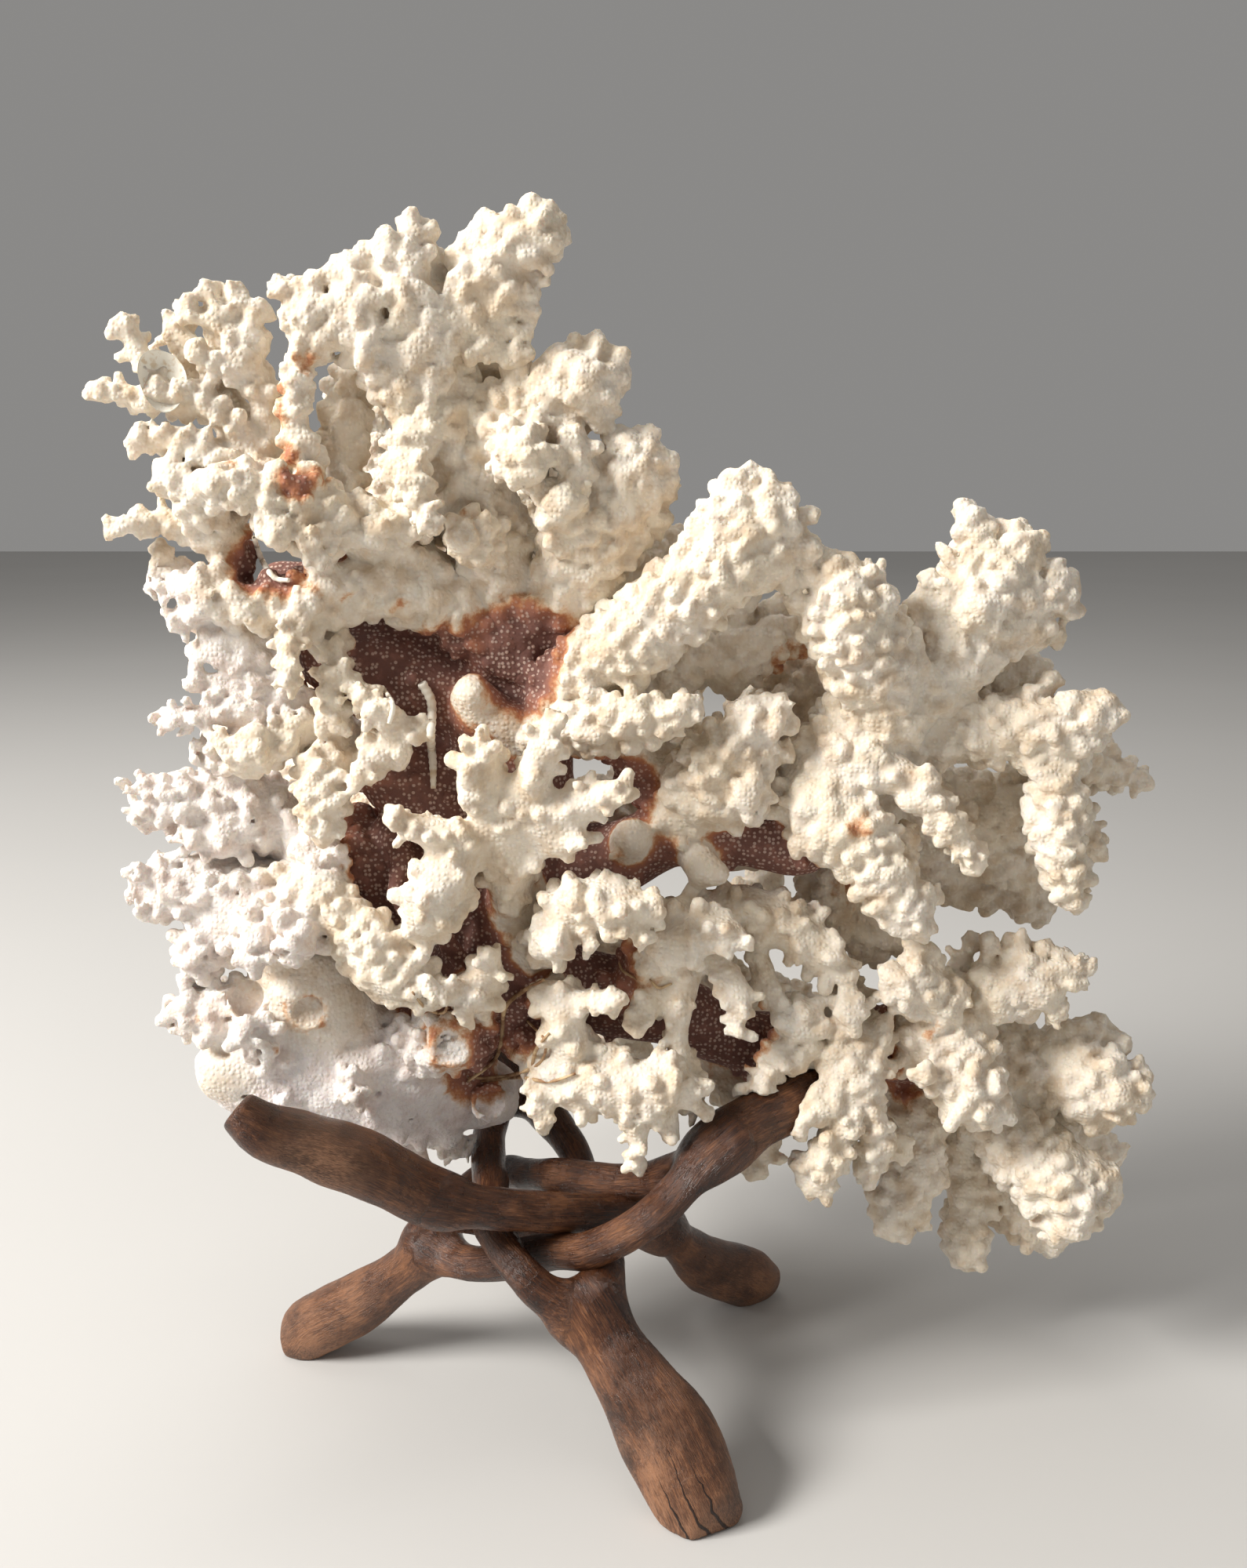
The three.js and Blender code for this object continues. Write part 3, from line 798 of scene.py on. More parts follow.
@dataclass(frozen=True)
class WoodFinish:
    """Dark carved hardwood: waxed and rubbed on the arms, dry and brushed at the feet."""

    name: str
    deep: Colour = (0.017, 0.0052, 0.0026)
    middle: Colour = (0.080, 0.027, 0.0105)
    light: Colour = (0.23, 0.094, 0.038)
    dry: Colour = (0.34, 0.175, 0.098)
    splits: tuple[tuple[float, float], ...] = ((-4.3, 13.0), (-0.7, 18.0), (3.2, 15.0))
    split_width: float = 0.34
    split_least: float = 0.004
    split_dark: Colour = (0.012, 0.005, 0.004)
    sheen: float = 0.5

    def material(self) -> bpy.types.Material:
        """Builds the finish.

        Returns:
            The material.
        """
        bench, material, shader = Bench.fresh(self.name)
        grain = bench.put("ShaderNodeAttribute", attribute_name="grain").outputs["Vector"]
        place = bench.put("ShaderNodeTexCoord").outputs["Object"]
        wear = bench.read("wear")
        streak = bench.noise(grain, 0.45, 4.0, 0.6, 0.8)
        fibre = bench.noise(grain, 2.6, 4.0, 0.72)
        hair = bench.noise(grain, 7.0, 2.0, 0.5)
        mottle = bench.noise(place, 120.0, 4.0, 0.62)
        broad = bench.noise(place, 34.0, 3.0)
        level = bench.maths("MULTIPLY", streak, 0.20)
        for value, weight in ((fibre, 0.34), (mottle, 0.22), (broad, 0.24)):
            level = bench.maths("ADD", level, bench.maths("MULTIPLY", value, weight))
        colour = bench.ramp(level, ((0.42, self.deep), (0.51, self.middle), (0.59, self.light)))
        scuff = bench.spread(bench.maths("ADD", hair, mottle), 0.85, 1.2, 0.2, 1.0)
        colour = bench.mix(bench.maths("MULTIPLY", wear, scuff), colour, self.dry)
        split = self.split(bench, place)
        colour = bench.mix(bench.maths("MULTIPLY", split, 0.93), colour, self.split_dark)
        bench.feed(shader.inputs["Base Color"], colour)
        relief = bench.bump(fibre, 0.0005, 0.75)
        relief = bench.bump(hair, 0.0002, 0.6, relief)
        relief = bench.bump(mottle, 0.0007, 0.35, relief)
        relief = bench.bump(bench.noise(place, 75.0, 2.0, 0.5), 0.003, 0.3, relief)
        relief = bench.bump(bench.maths("SUBTRACT", 1.0, split), 0.0006, 0.9, relief)
        bench.feed(shader.inputs["Normal"], relief)
        gloss = bench.spread(mottle, 0.35, 0.65, 0.20, 0.38)
        bench.feed(shader.inputs["Roughness"], bench.maths("ADD", gloss, bench.maths("MULTIPLY", wear, 0.26)))
        shader.inputs["Specular IOR Level"].default_value = self.sheen
        return material

    def split(self, bench: Bench, place: bpy.types.NodeSocket) -> bpy.types.NodeSocket:
        """Where the wood has split, from the end of the front foot up its grain.

        Args:
            bench: the material's bench.
            place: the place on the object.

        Returns:
            1 in a split and 0 beside it.
        """
        parts = bench.put("ShaderNodeSeparateXYZ")
        from_toe = bench.put("ShaderNodeAttribute", attribute_name="split").outputs["Vector"]
        bench.feed(parts.inputs[0], from_toe)
        wander = bench.maths("MULTIPLY_ADD", bench.noise(place, 210.0, 3.0), 2.4, -1.2)
        across, up = bench.maths("ADD", parts.outputs[0], wander), parts.outputs[1]
        total = 0.0
        for offset, length in self.splits:
            gap = bench.maths("ABSOLUTE", bench.maths("SUBTRACT", across, offset))
            width = bench.maths("MULTIPLY_ADD", up, -self.split_width / length, self.split_width)
            ratio = bench.maths("DIVIDE", gap, bench.maths("MAXIMUM", width, self.split_least))
            total = bench.maths("MAXIMUM", total, bench.spread(ratio, 1.3, 0.5))
        return total


@dataclass(frozen=True)
class ShellFinish:
    """Thin limy shell of tube worms and cups, off-white with tan growth bands."""

    name: str
    pale: Colour = (0.88, 0.84, 0.74)
    band: Colour = (0.70, 0.58, 0.42)
    band_scale: float = 420.0

    def material(self) -> bpy.types.Material:
        """Builds the finish.

        Returns:
            The material.
        """
        bench, material, shader = Bench.fresh(self.name)
        place = bench.put("ShaderNodeTexCoord").outputs["Object"]
        bands = bench.noise(place, self.band_scale, 2.0, 0.5, 0.4)
        fine = bench.noise(place, 1900.0, 2.0)
        colour = bench.mix(bench.spread(bands, 0.48, 0.70), self.pale, self.band)
        bench.feed(shader.inputs["Base Color"], colour)
        bench.feed(shader.inputs["Normal"], bench.bump(fine, 0.00012, 0.5))
        bench.feed(shader.inputs["Roughness"], bench.spread(fine, 0.3, 0.7, 0.42, 0.66))
        return material


@dataclass(frozen=True)
class RootFinish:
    """Dried fibre, straw-coloured to brown."""

    name: str
    pale: Colour = (0.58, 0.42, 0.24)
    dark: Colour = (0.26, 0.13, 0.06)

    def material(self) -> bpy.types.Material:
        """Builds the finish.

        Returns:
            The material.
        """
        bench, material, shader = Bench.fresh(self.name)
        place = bench.put("ShaderNodeTexCoord").outputs["Object"]
        patch = bench.noise(place, 300.0, 3.0)
        fine = bench.noise(place, 2600.0, 2.0)
        colour = bench.mix(bench.spread(patch, 0.35, 0.65), self.pale, self.dark)
        bench.feed(shader.inputs["Base Color"], colour)
        bench.feed(shader.inputs["Normal"], bench.bump(fine, 0.0001, 0.6))
        bench.feed(shader.inputs["Roughness"], bench.spread(fine, 0.3, 0.7, 0.6, 0.85))
        return material


@dataclass(frozen=True)
class Ring:
    """The round rim and hole of a broken stub or a worm's burrow, laid out as a limb's point."""

    point: Point
    rim: float
    depth: float
    rust: float


@dataclass
class CoralColony:
    """The coral: every bough, the knobs over them, and the burrows and stains in the base. Sizes in mm."""

    step: float = 0.9
    ease: float = 0.07
    reach: float = 5.0
    far: float = 9.0
    room: float = 12.0
    limb_room: float = 6.0
    limb_spacing: float = 5.0
    lump_cells: tuple[float, ...] = (9.0, 3.7, 1.9)
    lumpy_radius: float = 6.0
    core_limit: float = 0.42
    rod_fillet: float = 1.5
    fillet: float = 2.4
    seam_fillet: float = 2.4
    seam_overlap: float = 1.5
    seam_dip: float = 0.6
    tip_tilts: tuple[float, ...] = (0.0, 0.6, 1.05, 1.5)
    seat_turn: float = 0.28
    seat_slide: float = 0.35
    knob_spacing: float = 3.45
    knob_radius: tuple[float, float] = (1.1, 1.85)
    knob_reach: tuple[float, float] = (0.2, 2.1)
    knob_fillet: float = 0.9
    knob_root: float = 0.6
    knob_lean: float = 0.42
    knob_scatter: float = 0.7
    knobbly_radius: float = 4.5
    least_knob: float = 0.72
    open_distance: float = 2.2
    open_gap: float = 1.3
    front_way: float = -0.55
    front_share: float = 0.5
    pit_spacing: float = 6.5
    pit_radius: tuple[float, float] = (0.5, 1.1)
    pit_lift: float = 0.35
    pit_edge: float = 0.8
    ringed: tuple[tuple[str, float], ...] = (("holdfast", 4.0), ("trunk", 3.0), ("right_stem", 3.0))
    ring_wobble: tuple[float, float] = (0.9, 0.25)
    stand_gap: float = 0.3
    tint_step: float = 1.6
    tint_room: float = 5.0
    tint_span: tuple[float, float] = (-1.5, 9.0)
    tint_fade: float = 0.75
    least_weight: float = 1e-6
    chalky: float = 0.5
    search: tuple[float, float, float] = (-32.0, 24.0, 0.5)
    skin_level: float = 0.3
    smoothing: int = 7
    # Enclosure measures, each a name, how far out it samples and its room; the coral finish darkens enclosed
    # skin as painted shade.
    enclosed: tuple[tuple[str, float, float], ...] = (("nook", 1.6, 1.5), ("hollow", 4.6, 4.2))
    whole: Block = field(init=False)
    second: np.ndarray = field(init=False)
    lumps: list[np.ndarray] = field(init=False)
    tint: Block = field(init=False)
    chalk: Block = field(init=False)
    tint_weight: np.ndarray = field(init=False)
    seed: int = 41
    boughs: tuple[Bough, ...] = (
        Bough("trunk", "stained_stem", Skin.STEM, limbs(
            ((-52, 80, 14, 14), (-40, 92, 12, 14), (-28, 108, 8, 12), (-24, 124, 8, 11), (-22, 142, 10, 11),
             (-21, 160, 12, 10)), ((-34, 94, 6, 9), (-38, 88, -4, 7)),
            ((-22, 156, 14, 10), (-36, 166, 13, 9.5), (-50, 171, 11, 9), (-63, 174, 8, 7)),
            ((-24, 138, 12, 10), (-38, 145, 10, 10.5), (-50, 149, 9, 8.5)),
            ((-52, 136, 4, 4), (-49, 130, -4, 2.6), (-51, 122, -7, 2.2), (-47, 115, -6, 2)),
            ((-40, 128, 0, 4), (-38.5, 121, -6, 2.4), (-41, 112, -8, 2), (-37, 106, -6, 2.2)),
            ((-22, 172, 16, 9), (-38, 182, 17, 8), (-56, 186, 17, 8), (-72, 189, 15, 6)),
            ((-26, 122, 12, 10), (-40, 122, 8, 11), (-54, 126, 6, 10), (-64, 134, 6, 7)),
            Limb(((-30, 160, 6, 7), (-32.6, 167, -3, 4)), Skin.SMOOTH),
            Limb(((-24, 158, 4, 6), (-26, 162, -2, 2.4)), Skin.SMOOTH),
        )),
        Bough("holdfast", "chalk_base", Skin.CHALK, limbs(
            Limb(((-90, 80, -4, 8), (-78, 82, 0, 15), (-62, 80, 4, 17), (-46, 77, 8, 14),
                  (-31, 73, 12, 7)), Skin.SADDLE), ((-58, 72, 6, 8), (-52, 64, 8, 5.5), (-48.5, 59, 8, 3)),
            ((-46, 68, 8, 6), (-38.5, 59, 8, 3.5)), ((-82, 90, -4, 9), (-93, 94, -8, 7.5), (-100, 93, -8, 5)),
            ((-80, 84, -6, 9), (-84, 89, -14, 6)),
            Limb(((-66, 88, 0, 12), (-72, 102, -2, 12), (-76, 108, 0, 9)), Skin.SMOOTH),
            ((-48, 84, 0, 8), (-41, 86, -8, 6.5)), ((-62, 78, -8, 8), (-62, 74, -14, 4)),
            Limb(((-84, 80, -8, 7), (-92, 79, -10, 6)), Skin.SMOOTH),
        )),
        Bough("lower_stem", "stained_stem", Skin.STEM, limbs(
            ((-34, 96, 10, 11), (-18, 101, 4, 9.5), (-4, 98, 6, 9), (10, 94, 8, 8), (24, 88, 10, 7.5),
             (38, 84, 10, 7)), ((34, 86, 10, 7), (50, 86, 12, 7), (64, 84, 14, 8)),
        )),
        Bough("right_stem", "stained_stem", Skin.STEM, limbs(
            ((-20, 126, 10, 9), (-4, 129, 10, 8), (12, 136, 8, 7.5), (26, 136, 8, 7), (39, 134, 6, 8)),
            Limb(((12, 138, 4, 7), (18, 147, 0, 9), (23, 155, -2, 8), (31, 160, -4, 5)), Skin.KNOBBLY),
            Limb(((22, 142, 0, 7), (27, 145, -6, 5)), Skin.KNOBBLY),
            Limb(((27, 152, -2, 6), (33.5, 154, -3, 2.4)), Skin.KNOBBLY),
            Limb(((22, 146, 0, 6), (26, 142.5, -2, 2.4)), Skin.KNOBBLY),
            Limb(((28, 158, -3, 5), (33, 164, -4, 2.2)), Skin.KNOBBLY),
            Limb(((1.5, 132, 6, 4.4), (1.8, 134.5, -2, 4.2)), Skin.SMOOTH),
            Limb(((16, 131, 4, 4), (18, 127, -4, 3.6), (21, 126, -6, 2.4)), Skin.SMOOTH),
        )),
        Bough("crown", "cream_coral", Skin.KNOBBLY, limbs(
            ((-21, 162, 12, 9.5), (-22, 178, 12, 9.5), (-28, 196, 10, 9.5), (-34, 212, 8, 9.5),
             (-39, 228, 4, 9), (-40, 238, 2, 8.5)),
            ((-40, 238, 0, 7.6), (-33, 248, -2, 6.2), (-26, 255, -4, 6.2), (-18, 260, -6, 6.2)),
            ((-40, 240, 0, 7.6), (-43, 250, -4, 5.7), (-46, 256, -6, 3.8)),
            ((-44, 232, 0, 7.6), (-52, 238, -4, 6.2), (-53, 247, -6, 4.8)),
            ((-42, 222, 0, 7.6), (-46, 213, -10, 4.3), (-41, 204, -14, 3.3)),
            ((-20, 258, -6, 5.7), (-17, 262, -6, 3.8)), ((-24, 250, -4, 3.8), (-17.5, 252, -4, 1.8)),
            ((-27, 248, -4, 3.8), (-20, 248.5, -4, 1.8)), ((-29, 245, -3, 3.8), (-21, 245.5, -3, 1.7)),
            ((-30, 242, -2, 3.8), (-21.5, 241.5, -2, 1.8)), ((-31, 238, -2, 3.8), (-22.5, 237.5, -2, 1.8)),
            ((-24, 257, -5, 3.8), (-26, 262.5, -5, 2)), ((-26, 255, -5, 3.8), (-28.5, 259, -5, 2)),
            ((-29, 252, -4, 3.8), (-32, 256.5, -4, 2)), ((-53, 247, -6, 4.8), (-56, 253, -6, 2.2)),
            ((-52, 247, -5, 3.8), (-52.5, 254, -5, 2.2)), ((-48, 250, -4, 3.8), (-49.5, 256, -4, 2.2)),
            ((-46, 254, -5, 3.8), (-47, 258, -5, 2)), ((-44, 254, -5, 3.8), (-43, 261, -5, 2.6)),
            ((-43, 253, -4, 3.8), (-39.5, 260, -4, 2.4)),
            ((-39, 236, 2, 7.6), (-40, 246, 2, 6.6), (-42, 254, 0, 5.2)),
            ((-34, 232, 12, 5.7), (-28, 234, 12, 4.8), (-23, 236, 12, 2.8)),
            ((-34, 226, 12, 5.7), (-27, 226, 12, 4.8), (-22, 229, 12, 2.8)),
            ((-40, 206, 2, 6.6), (-51, 202, -8, 3.3)), ((-30, 200, 0, 6.6), (-33, 200, -6, 4.8)),
        )),
        Bough("left_lower_fan", "chalk_base", Skin.CHALK, limbs(
            ((-58, 114, 6, 10), (-72, 119, 2, 9.5), (-86, 121, -4, 9), (-98, 121, -6, 6.5),
             (-106, 120, -8, 4)), ((-94, 122, -6, 6), (-107, 126, -10, 3)),
            ((-86, 118, -6, 8), (-95, 109, -8, 6), (-97, 103, -8, 4)),
            ((-80, 116, -6, 8), (-82, 110, -16, 6)),
            Limb(((-76, 126, -6, 5), (-66, 119, -12, 6.5), (-58, 110, -16, 7), (-50, 103, -18, 6.5),
                  (-46, 98, -18, 4)), Skin.KNOBBLY),
            Limb(((-60, 108, -14, 6), (-54, 100, -18, 4)), Skin.KNOBBLY),
            ((-72, 118, -6, 7), (-73, 112, -18, 5.5)),
        )),
        Bough("left_middle_fan", "chalk_base", Skin.CHALK, limbs(
            ((-44, 130, 12, 9), (-58, 130, 8, 9), (-72, 136, 4, 8.5), (-85, 142, 0, 7.5), (-98, 142, -4, 5),
             (-106, 140, -6, 3)), ((-92, 143, -2, 5), (-108, 146, -8, 2.5)),
            ((-82, 138, -2, 7), (-89, 133, -6, 5), (-97, 135, -8, 3)), ((-72, 134, 0, 7), (-66, 128, -8, 5)),
        )),
        Bough("left_upper_fan", "chalk_base", Skin.CHALK, limbs(
            ((-42, 148, 14, 5.4), (-58, 153, 4, 6.3), (-74, 160, 0, 6.3), (-87, 162, -6, 4),
             (-99, 161, -8, 2.5)),
            Limb(((-60, 154, 0, 5.4), (-66, 149, -8, 5.9), (-67, 141, -12, 5.4),
                  (-66, 137, -13, 3.6)), Skin.KNOBBLY),
            Limb(((-58, 152, 0, 4.5), (-52, 155, -8, 4.5), (-46, 158, -10, 3.2)), Skin.KNOBBLY),
            Limb(((-54, 155, -8, 4.1), (-57, 149, -12, 2.9)), Skin.KNOBBLY),
            Limb(((-63, 178, 0, 4.5), (-60, 170, -8, 2.9), (-54, 163, -12, 4)), Skin.KNOBBLY),
            Limb(((-70, 158, -2, 5.9), (-79, 154, -8, 5.4), (-86, 156, -9, 3.6)), Skin.KNOBBLY),
            Limb(((-63, 155, -2, 5), (-63, 163, -8, 3.8), (-63.5, 169, -9, 2.7)), Skin.KNOBBLY),
            ((-68, 162, 4, 5.9), (-78, 170, 0, 5.4), (-86, 177, -2, 4.5)),
            ((-74, 166, 0, 5.4), (-82, 178, 0, 5.4), (-89, 185, -2, 4.5)),
            ((-82, 164, -2, 4.5), (-91, 169, -4, 3.6)), ((-78, 158, -2, 5.4), (-90, 154, -6, 4)),
        )),
        Bough("upper_left_bough", "cream_coral", Skin.KNOBBLY, limbs(
            ((-24, 172, 10, 8.1), (-38, 186, 6, 8.1), (-52, 190, 0, 7.2), (-66, 187, -4, 6.8),
             (-78, 186, -6, 5.9), (-88, 189, -8, 4.5)),
            ((-80, 186, 0, 5.4), (-92, 187, -2, 3.6), (-97, 196, -4, 2.7)),
            ((-84, 190, -2, 4.5), (-83, 200, -2, 5), (-90, 208, -8, 4.5), (-93, 212, -10, 4)),
            ((-84, 200, -2, 4.5), (-97, 204, -6, 3.1), (-106, 202, -8, 2.5)),
            ((-76, 184, 0, 5.4), (-88, 178, -2, 3.6)),
            ((-68, 184, -2, 4.5), (-72, 177, -12, 3.1), (-72, 170, -14, 2.5)),
            Limb(((-86, 188, -6, 4.5), (-94, 183, -6, 3.6)), Skin.CHALK),
            Limb(((-90, 190, -5, 4.5), (-98, 190, -5, 3.1)), Skin.CHALK),
            ((-90, 206, -8, 4.5), (-95, 212, -9, 2.7)), ((-86, 206, -6, 4.5), (-87, 214, -8, 2.7)),
        )),
        Bough("upper_left_fork", "cream_coral", Skin.KNOBBLY, limbs(
            ((-40, 192, 6, 7), (-54, 200, -2, 6.6), (-64, 206, -8, 6.6), (-75, 209, -12, 6.2),
             (-85, 211, -14, 4.8)), ((-78, 210, -6, 5.3), (-90, 220, -8, 3.5), (-99, 220, -8, 2.5)),
            ((-76, 212, -4, 5.3), (-84, 226, -4, 4.4), (-95, 229, -6, 3.5), (-101, 241, -6, 2.5)),
            ((-92, 228, -6, 3.5), (-107, 230, -8, 2.5)),
            ((-72, 212, 0, 4.8), (-75, 229, -2, 4), (-79, 240, -2, 4), (-88, 245, -4, 2.6)),
            ((-64, 208, -4, 5.3), (-68, 222, -6, 4), (-66, 236, -6, 3.5), (-63, 246, -6, 4)),
            ((-64, 202, -8, 4.4), (-66, 198, -14, 3.1)), ((-72, 206, -10, 5.3), (-73, 201, -15, 4)),
            ((-80, 240, -2, 4), (-84, 248, -3, 2.4)), ((-79, 240, -2, 3.5), (-79.5, 247, -2, 2.4)),
            ((-78, 238, -2, 3.5), (-75.5, 244, -2, 2.4)), ((-78, 234, -4, 4), (-86, 237, -6, 3.3)),
            ((-66, 243, -6, 3.5), (-68.5, 249, -6, 2.2)), ((-64, 244, -6, 3.5), (-63, 250, -6, 2.3)),
            ((-64, 242, -6, 3.5), (-57.5, 247.5, -6, 2.4)), ((-66, 238, -6, 3.5), (-58, 240, -5, 2.6)),
            ((-80, 224, 4, 5.3), (-87, 234, 4, 4.8), (-91, 241, 2, 3.1)),
            ((-84, 228, 4, 4.4), (-94, 234, 4, 3.5)),
            ((-60, 206, 2, 6.2), (-58, 220, 6, 5.3), (-56, 232, 8, 4.4)),
        )),
        Bough("crown_right_bough", "cream_coral", Skin.KNOBBLY, limbs(
            ((-32, 212, 8, 9), (-27, 222, 6, 9), (-18, 227, 4, 8.5), (-10, 231, 2, 7.5), (-5, 233, 0, 5)),
            ((-24, 220, 2, 7), (-20, 217, -8, 6.5)),
            ((-16, 224, 2, 6), (-10, 218, -4, 4.5), (-12, 208, -8, 3.5)),
            ((-12, 231, 2, 6), (-10.5, 238, 2, 2.2)), ((-10, 231, 2, 6), (-6.5, 238, 2, 2.2)),
            ((-8, 231, 1, 5.5), (-3.5, 235, 1, 2.2)), ((-8, 230, 1, 5.5), (-3, 230.5, 1, 2)),
            ((-9, 228, 1, 5.5), (-5, 225.5, 1, 2.2)),
        )),
        Bough("upper_right_bough", "cream_coral", Skin.KNOBBLY, limbs(
            ((-20, 176, 12, 8), (-14, 187, 8, 9), (-8, 197, 6, 9.5), (-2, 206, 4, 9), (3, 215, 2, 6.5)),
            ((-8, 198, 4, 7), (-13, 206, -4, 5.5)), ((-6, 195, 8, 6), (2, 196, 17, 5), (10, 199, 20, 3)),
            ((1, 212, 3, 6), (4.5, 219.5, 2, 2.2)), ((0, 211, 3, 6), (0, 219, 2, 2.2)),
            ((3, 211, 3, 6), (8, 214.5, 2, 2.2)), ((2, 208, 3, 6.5), (8, 209, 3, 2.2)),
            ((1, 204, 4, 6.5), (7, 203.5, 3, 2.2)), ((-4, 206, 4, 7), (-5, 214, 2, 2.2)),
        )),
        Bough("middle_right_bough", "cream_coral", Skin.KNOBBLY, limbs(
            ((-18, 162, 8, 8), (-9, 172, 0, 9), (3, 179, -4, 9.5), (14, 188, -6, 9.5), (23, 197, -8, 9.5),
             (29, 205, -10, 6.5)), ((24, 196, -6, 8), (35, 198, -8, 5.5)),
            ((-8, 171, 2, 7.5), (5, 171, 9, 7), (18, 174, 12, 6.5), (32, 178, 12, 6), (40, 183, 12, 4)),
            Limb(((24, 203, -9, 5), (22.5, 211, -9, 3.4)), Skin.SMOOTH),
            ((27, 203, -9, 6), (26, 211, -9, 2.2)), ((29, 202, -10, 5.5), (30, 209, -10, 2.2)),
            ((30, 201, -10, 5.5), (34, 207.5, -10, 2.2)), ((31, 200, -9, 5), (38, 204, -9, 2.2)),
            ((32, 198, -8, 5), (37.5, 196.5, -8, 2.2)), ((30, 195, -8, 5), (34.5, 193, -8, 2.2)),
            ((22, 200, -9, 6), (19.5, 204.5, -9, 2.2)), ((20, 196, -8, 6), (16.5, 199.5, -8, 2.2)),
            ((24, 178, 12, 5), (27, 186, 11, 2.4)), ((30, 179, 12, 5), (33, 184.5, 12, 2.4)),
            ((22, 174, 12, 5), (23.5, 169, 12, 2.4)),
        )),
        Bough("underside_bough", "cream_coral", Skin.KNOBBLY, limbs(
            ((-18, 158, 2, 8), (-8, 161, -4, 7), (2, 161, -8, 6), (12, 163, -10, 4)),
            ((-8, 160, 0, 6.5), (3, 156, 9, 6.5), (7, 146, 10, 7)),
        )),
        Bough("right_crown", "cream_coral", Skin.KNOBBLY, limbs(
            ((42, 138, 6, 9), (44, 147, 4, 11), (52, 157, 4, 11), (60, 166, 4, 10)),
            ((58, 164, 2, 9), (53, 174, -4, 10.5), (48, 184, -8, 9.5), (46, 190, -8, 6)),
            ((62, 167, 6, 10), (71, 178, 6, 11.5), (77, 188, 4, 11), (82, 196, 2, 7)),
            ((76, 188, 4, 8), (74, 201, 2, 4)), ((80, 184, 4, 8), (91, 189, 2, 5)),
            ((70, 170, 14, 6), (86, 172, 16, 4.5)), ((47, 188, -8, 5), (44, 193, -8, 2.4)),
            ((49, 188, -8, 5), (53, 192, -8, 2.4)), ((46, 184, -8, 5), (38.5, 186, -8, 2.4)),
            ((46, 187, -8, 4), (40.5, 191, -8, 2.3)), ((77, 196, 2, 4.5), (73, 204, 2, 2.4)),
            ((80, 192, 2, 5), (82, 199, 1, 2.4)), ((82, 188, 2, 5), (90, 193, 1, 2.2)),
            ((84, 186, 2, 5), (93, 189.5, 2, 2.2)), ((84, 184, 3, 5), (94, 185, 3, 2.2)),
            ((82, 180, 4, 5), (91, 179.5, 4, 2.2)), ((74, 190, 2, 5), (68.5, 196, 1, 2.2)),
            ((72, 186, 2, 5), (66.5, 190.5, 1, 2.2)), ((68, 180, 2, 5), (62.5, 184, 1, 2.2)),
        )),
        Bough("right_arm", "cream_coral", Skin.KNOBBLY, limbs(
            ((58, 156, 8, 7.6), (70, 159, 6, 8.1), (82, 159, 4, 8.1), (94, 158, 0, 7.6), (103, 162, -2, 4.8)),
            ((94, 156, 0, 7.1), (95, 146, -2, 6.6), (95, 136, -4, 6.2), (98, 127, -6, 5.7),
             (100, 121, -6, 3.8)),
            ((92, 156, 5, 6.2), (98, 152, 13, 5.7), (106, 150, 16, 4.8), (112, 148, 16, 2.8)),
            ((95, 143, 2, 5.7), (99, 139, 10, 4.8), (104, 133, 12, 3.3)),
            ((96, 160, -2, 5.7), (102.5, 163, -2, 3.3)), ((88, 162, 2, 5.7), (91, 168, 2, 2.6)),
        )),
        Bough("right_lower_fingers", "cream_coral", Skin.KNOBBLY, limbs(
            ((42, 142, 0, 9.2), (50, 138, -4, 8.7), (56, 129, -6, 7.8), (60, 122, -8, 6),
             (66, 115, -10, 3.2)),
            ((54, 150, -2, 6.4), (64, 147, -6, 5.1), (71, 138, -8, 4.1), (77, 130, -8, 3.2)),
            ((58, 128, -4, 5.5), (62, 133, -4, 3.7)), ((59, 124, -7, 4.6), (58.5, 117, -8, 2.4)),
            ((62, 121, -8, 4.1), (66, 114, -9, 2.2)), ((62, 122, -7, 4.6), (68.5, 121, -7, 2.2)),
            ((48, 136, -4, 7.4), (41, 134, -5, 4.1)), ((46, 142, 0, 7.4), (37, 143, 0, 3.7)),
        )),
        Bough("right_back_bough", "cream_coral", Skin.KNOBBLY, limbs(
            ((48, 142, 22, 8), (62, 143, 24, 9), (74, 140, 24, 9), (84, 130, 24, 8), (92, 120, 24, 5)),
            ((74, 138, 22, 8), (86, 143, 22, 8)), ((64, 138, 26, 7), (72, 128, 26, 7), (80, 122, 26, 5)),
            ((52, 141, 23, 7), (45, 131, 23, 6.5), (46, 118, 22, 7), (56, 112, 20, 6.5), (63, 113, 18, 4.5)),
        )),
        Bough("back_plate", "cream_coral", Skin.KNOBBLY, limbs(
            ((24, 132, 22, 7), (32, 146, 26, 8), (36, 160, 28, 9), (39, 174, 28, 7)),
        )),
        Bough("front_fork", "cream_coral", Skin.LOBED, limbs(
            ((-25, 116, 0, 6.4), (-25, 126, -8, 6.4), (-26, 136, -14, 6.4), (-31, 147, -18, 6.4),
             (-31, 154, -20, 4.1)), ((-24, 138, -14, 6), (-19, 150, -20, 5.1), (-16, 159, -22, 3.2)),
            ((-20, 138, -16, 6), (-10, 142, -20, 5.1), (-1, 145, -24, 3.7)),
            ((-28, 134, -14, 5.5), (-38, 134, -18, 4.6), (-50, 138, -22, 3.2)),
            ((-34, 132, -12, 4.6), (-41, 124, -20, 6.9), (-45, 114, -18, 5.5)),
            ((-18, 134, -14, 5.5), (-11, 134, -20, 3.7)),
        )),
        Bough("star_finger", "cream_coral", Skin.LOBED, limbs(
            ((-34, 92, 2, 5.6), (-32.5, 98, -10, 5), (-30.5, 105, -18, 3.4)),
            ((-33, 99, -14, 4.4), (-42, 98, -22, 2.8)), ((-33, 98, -14, 4), (-36, 93, -20, 2.4)),
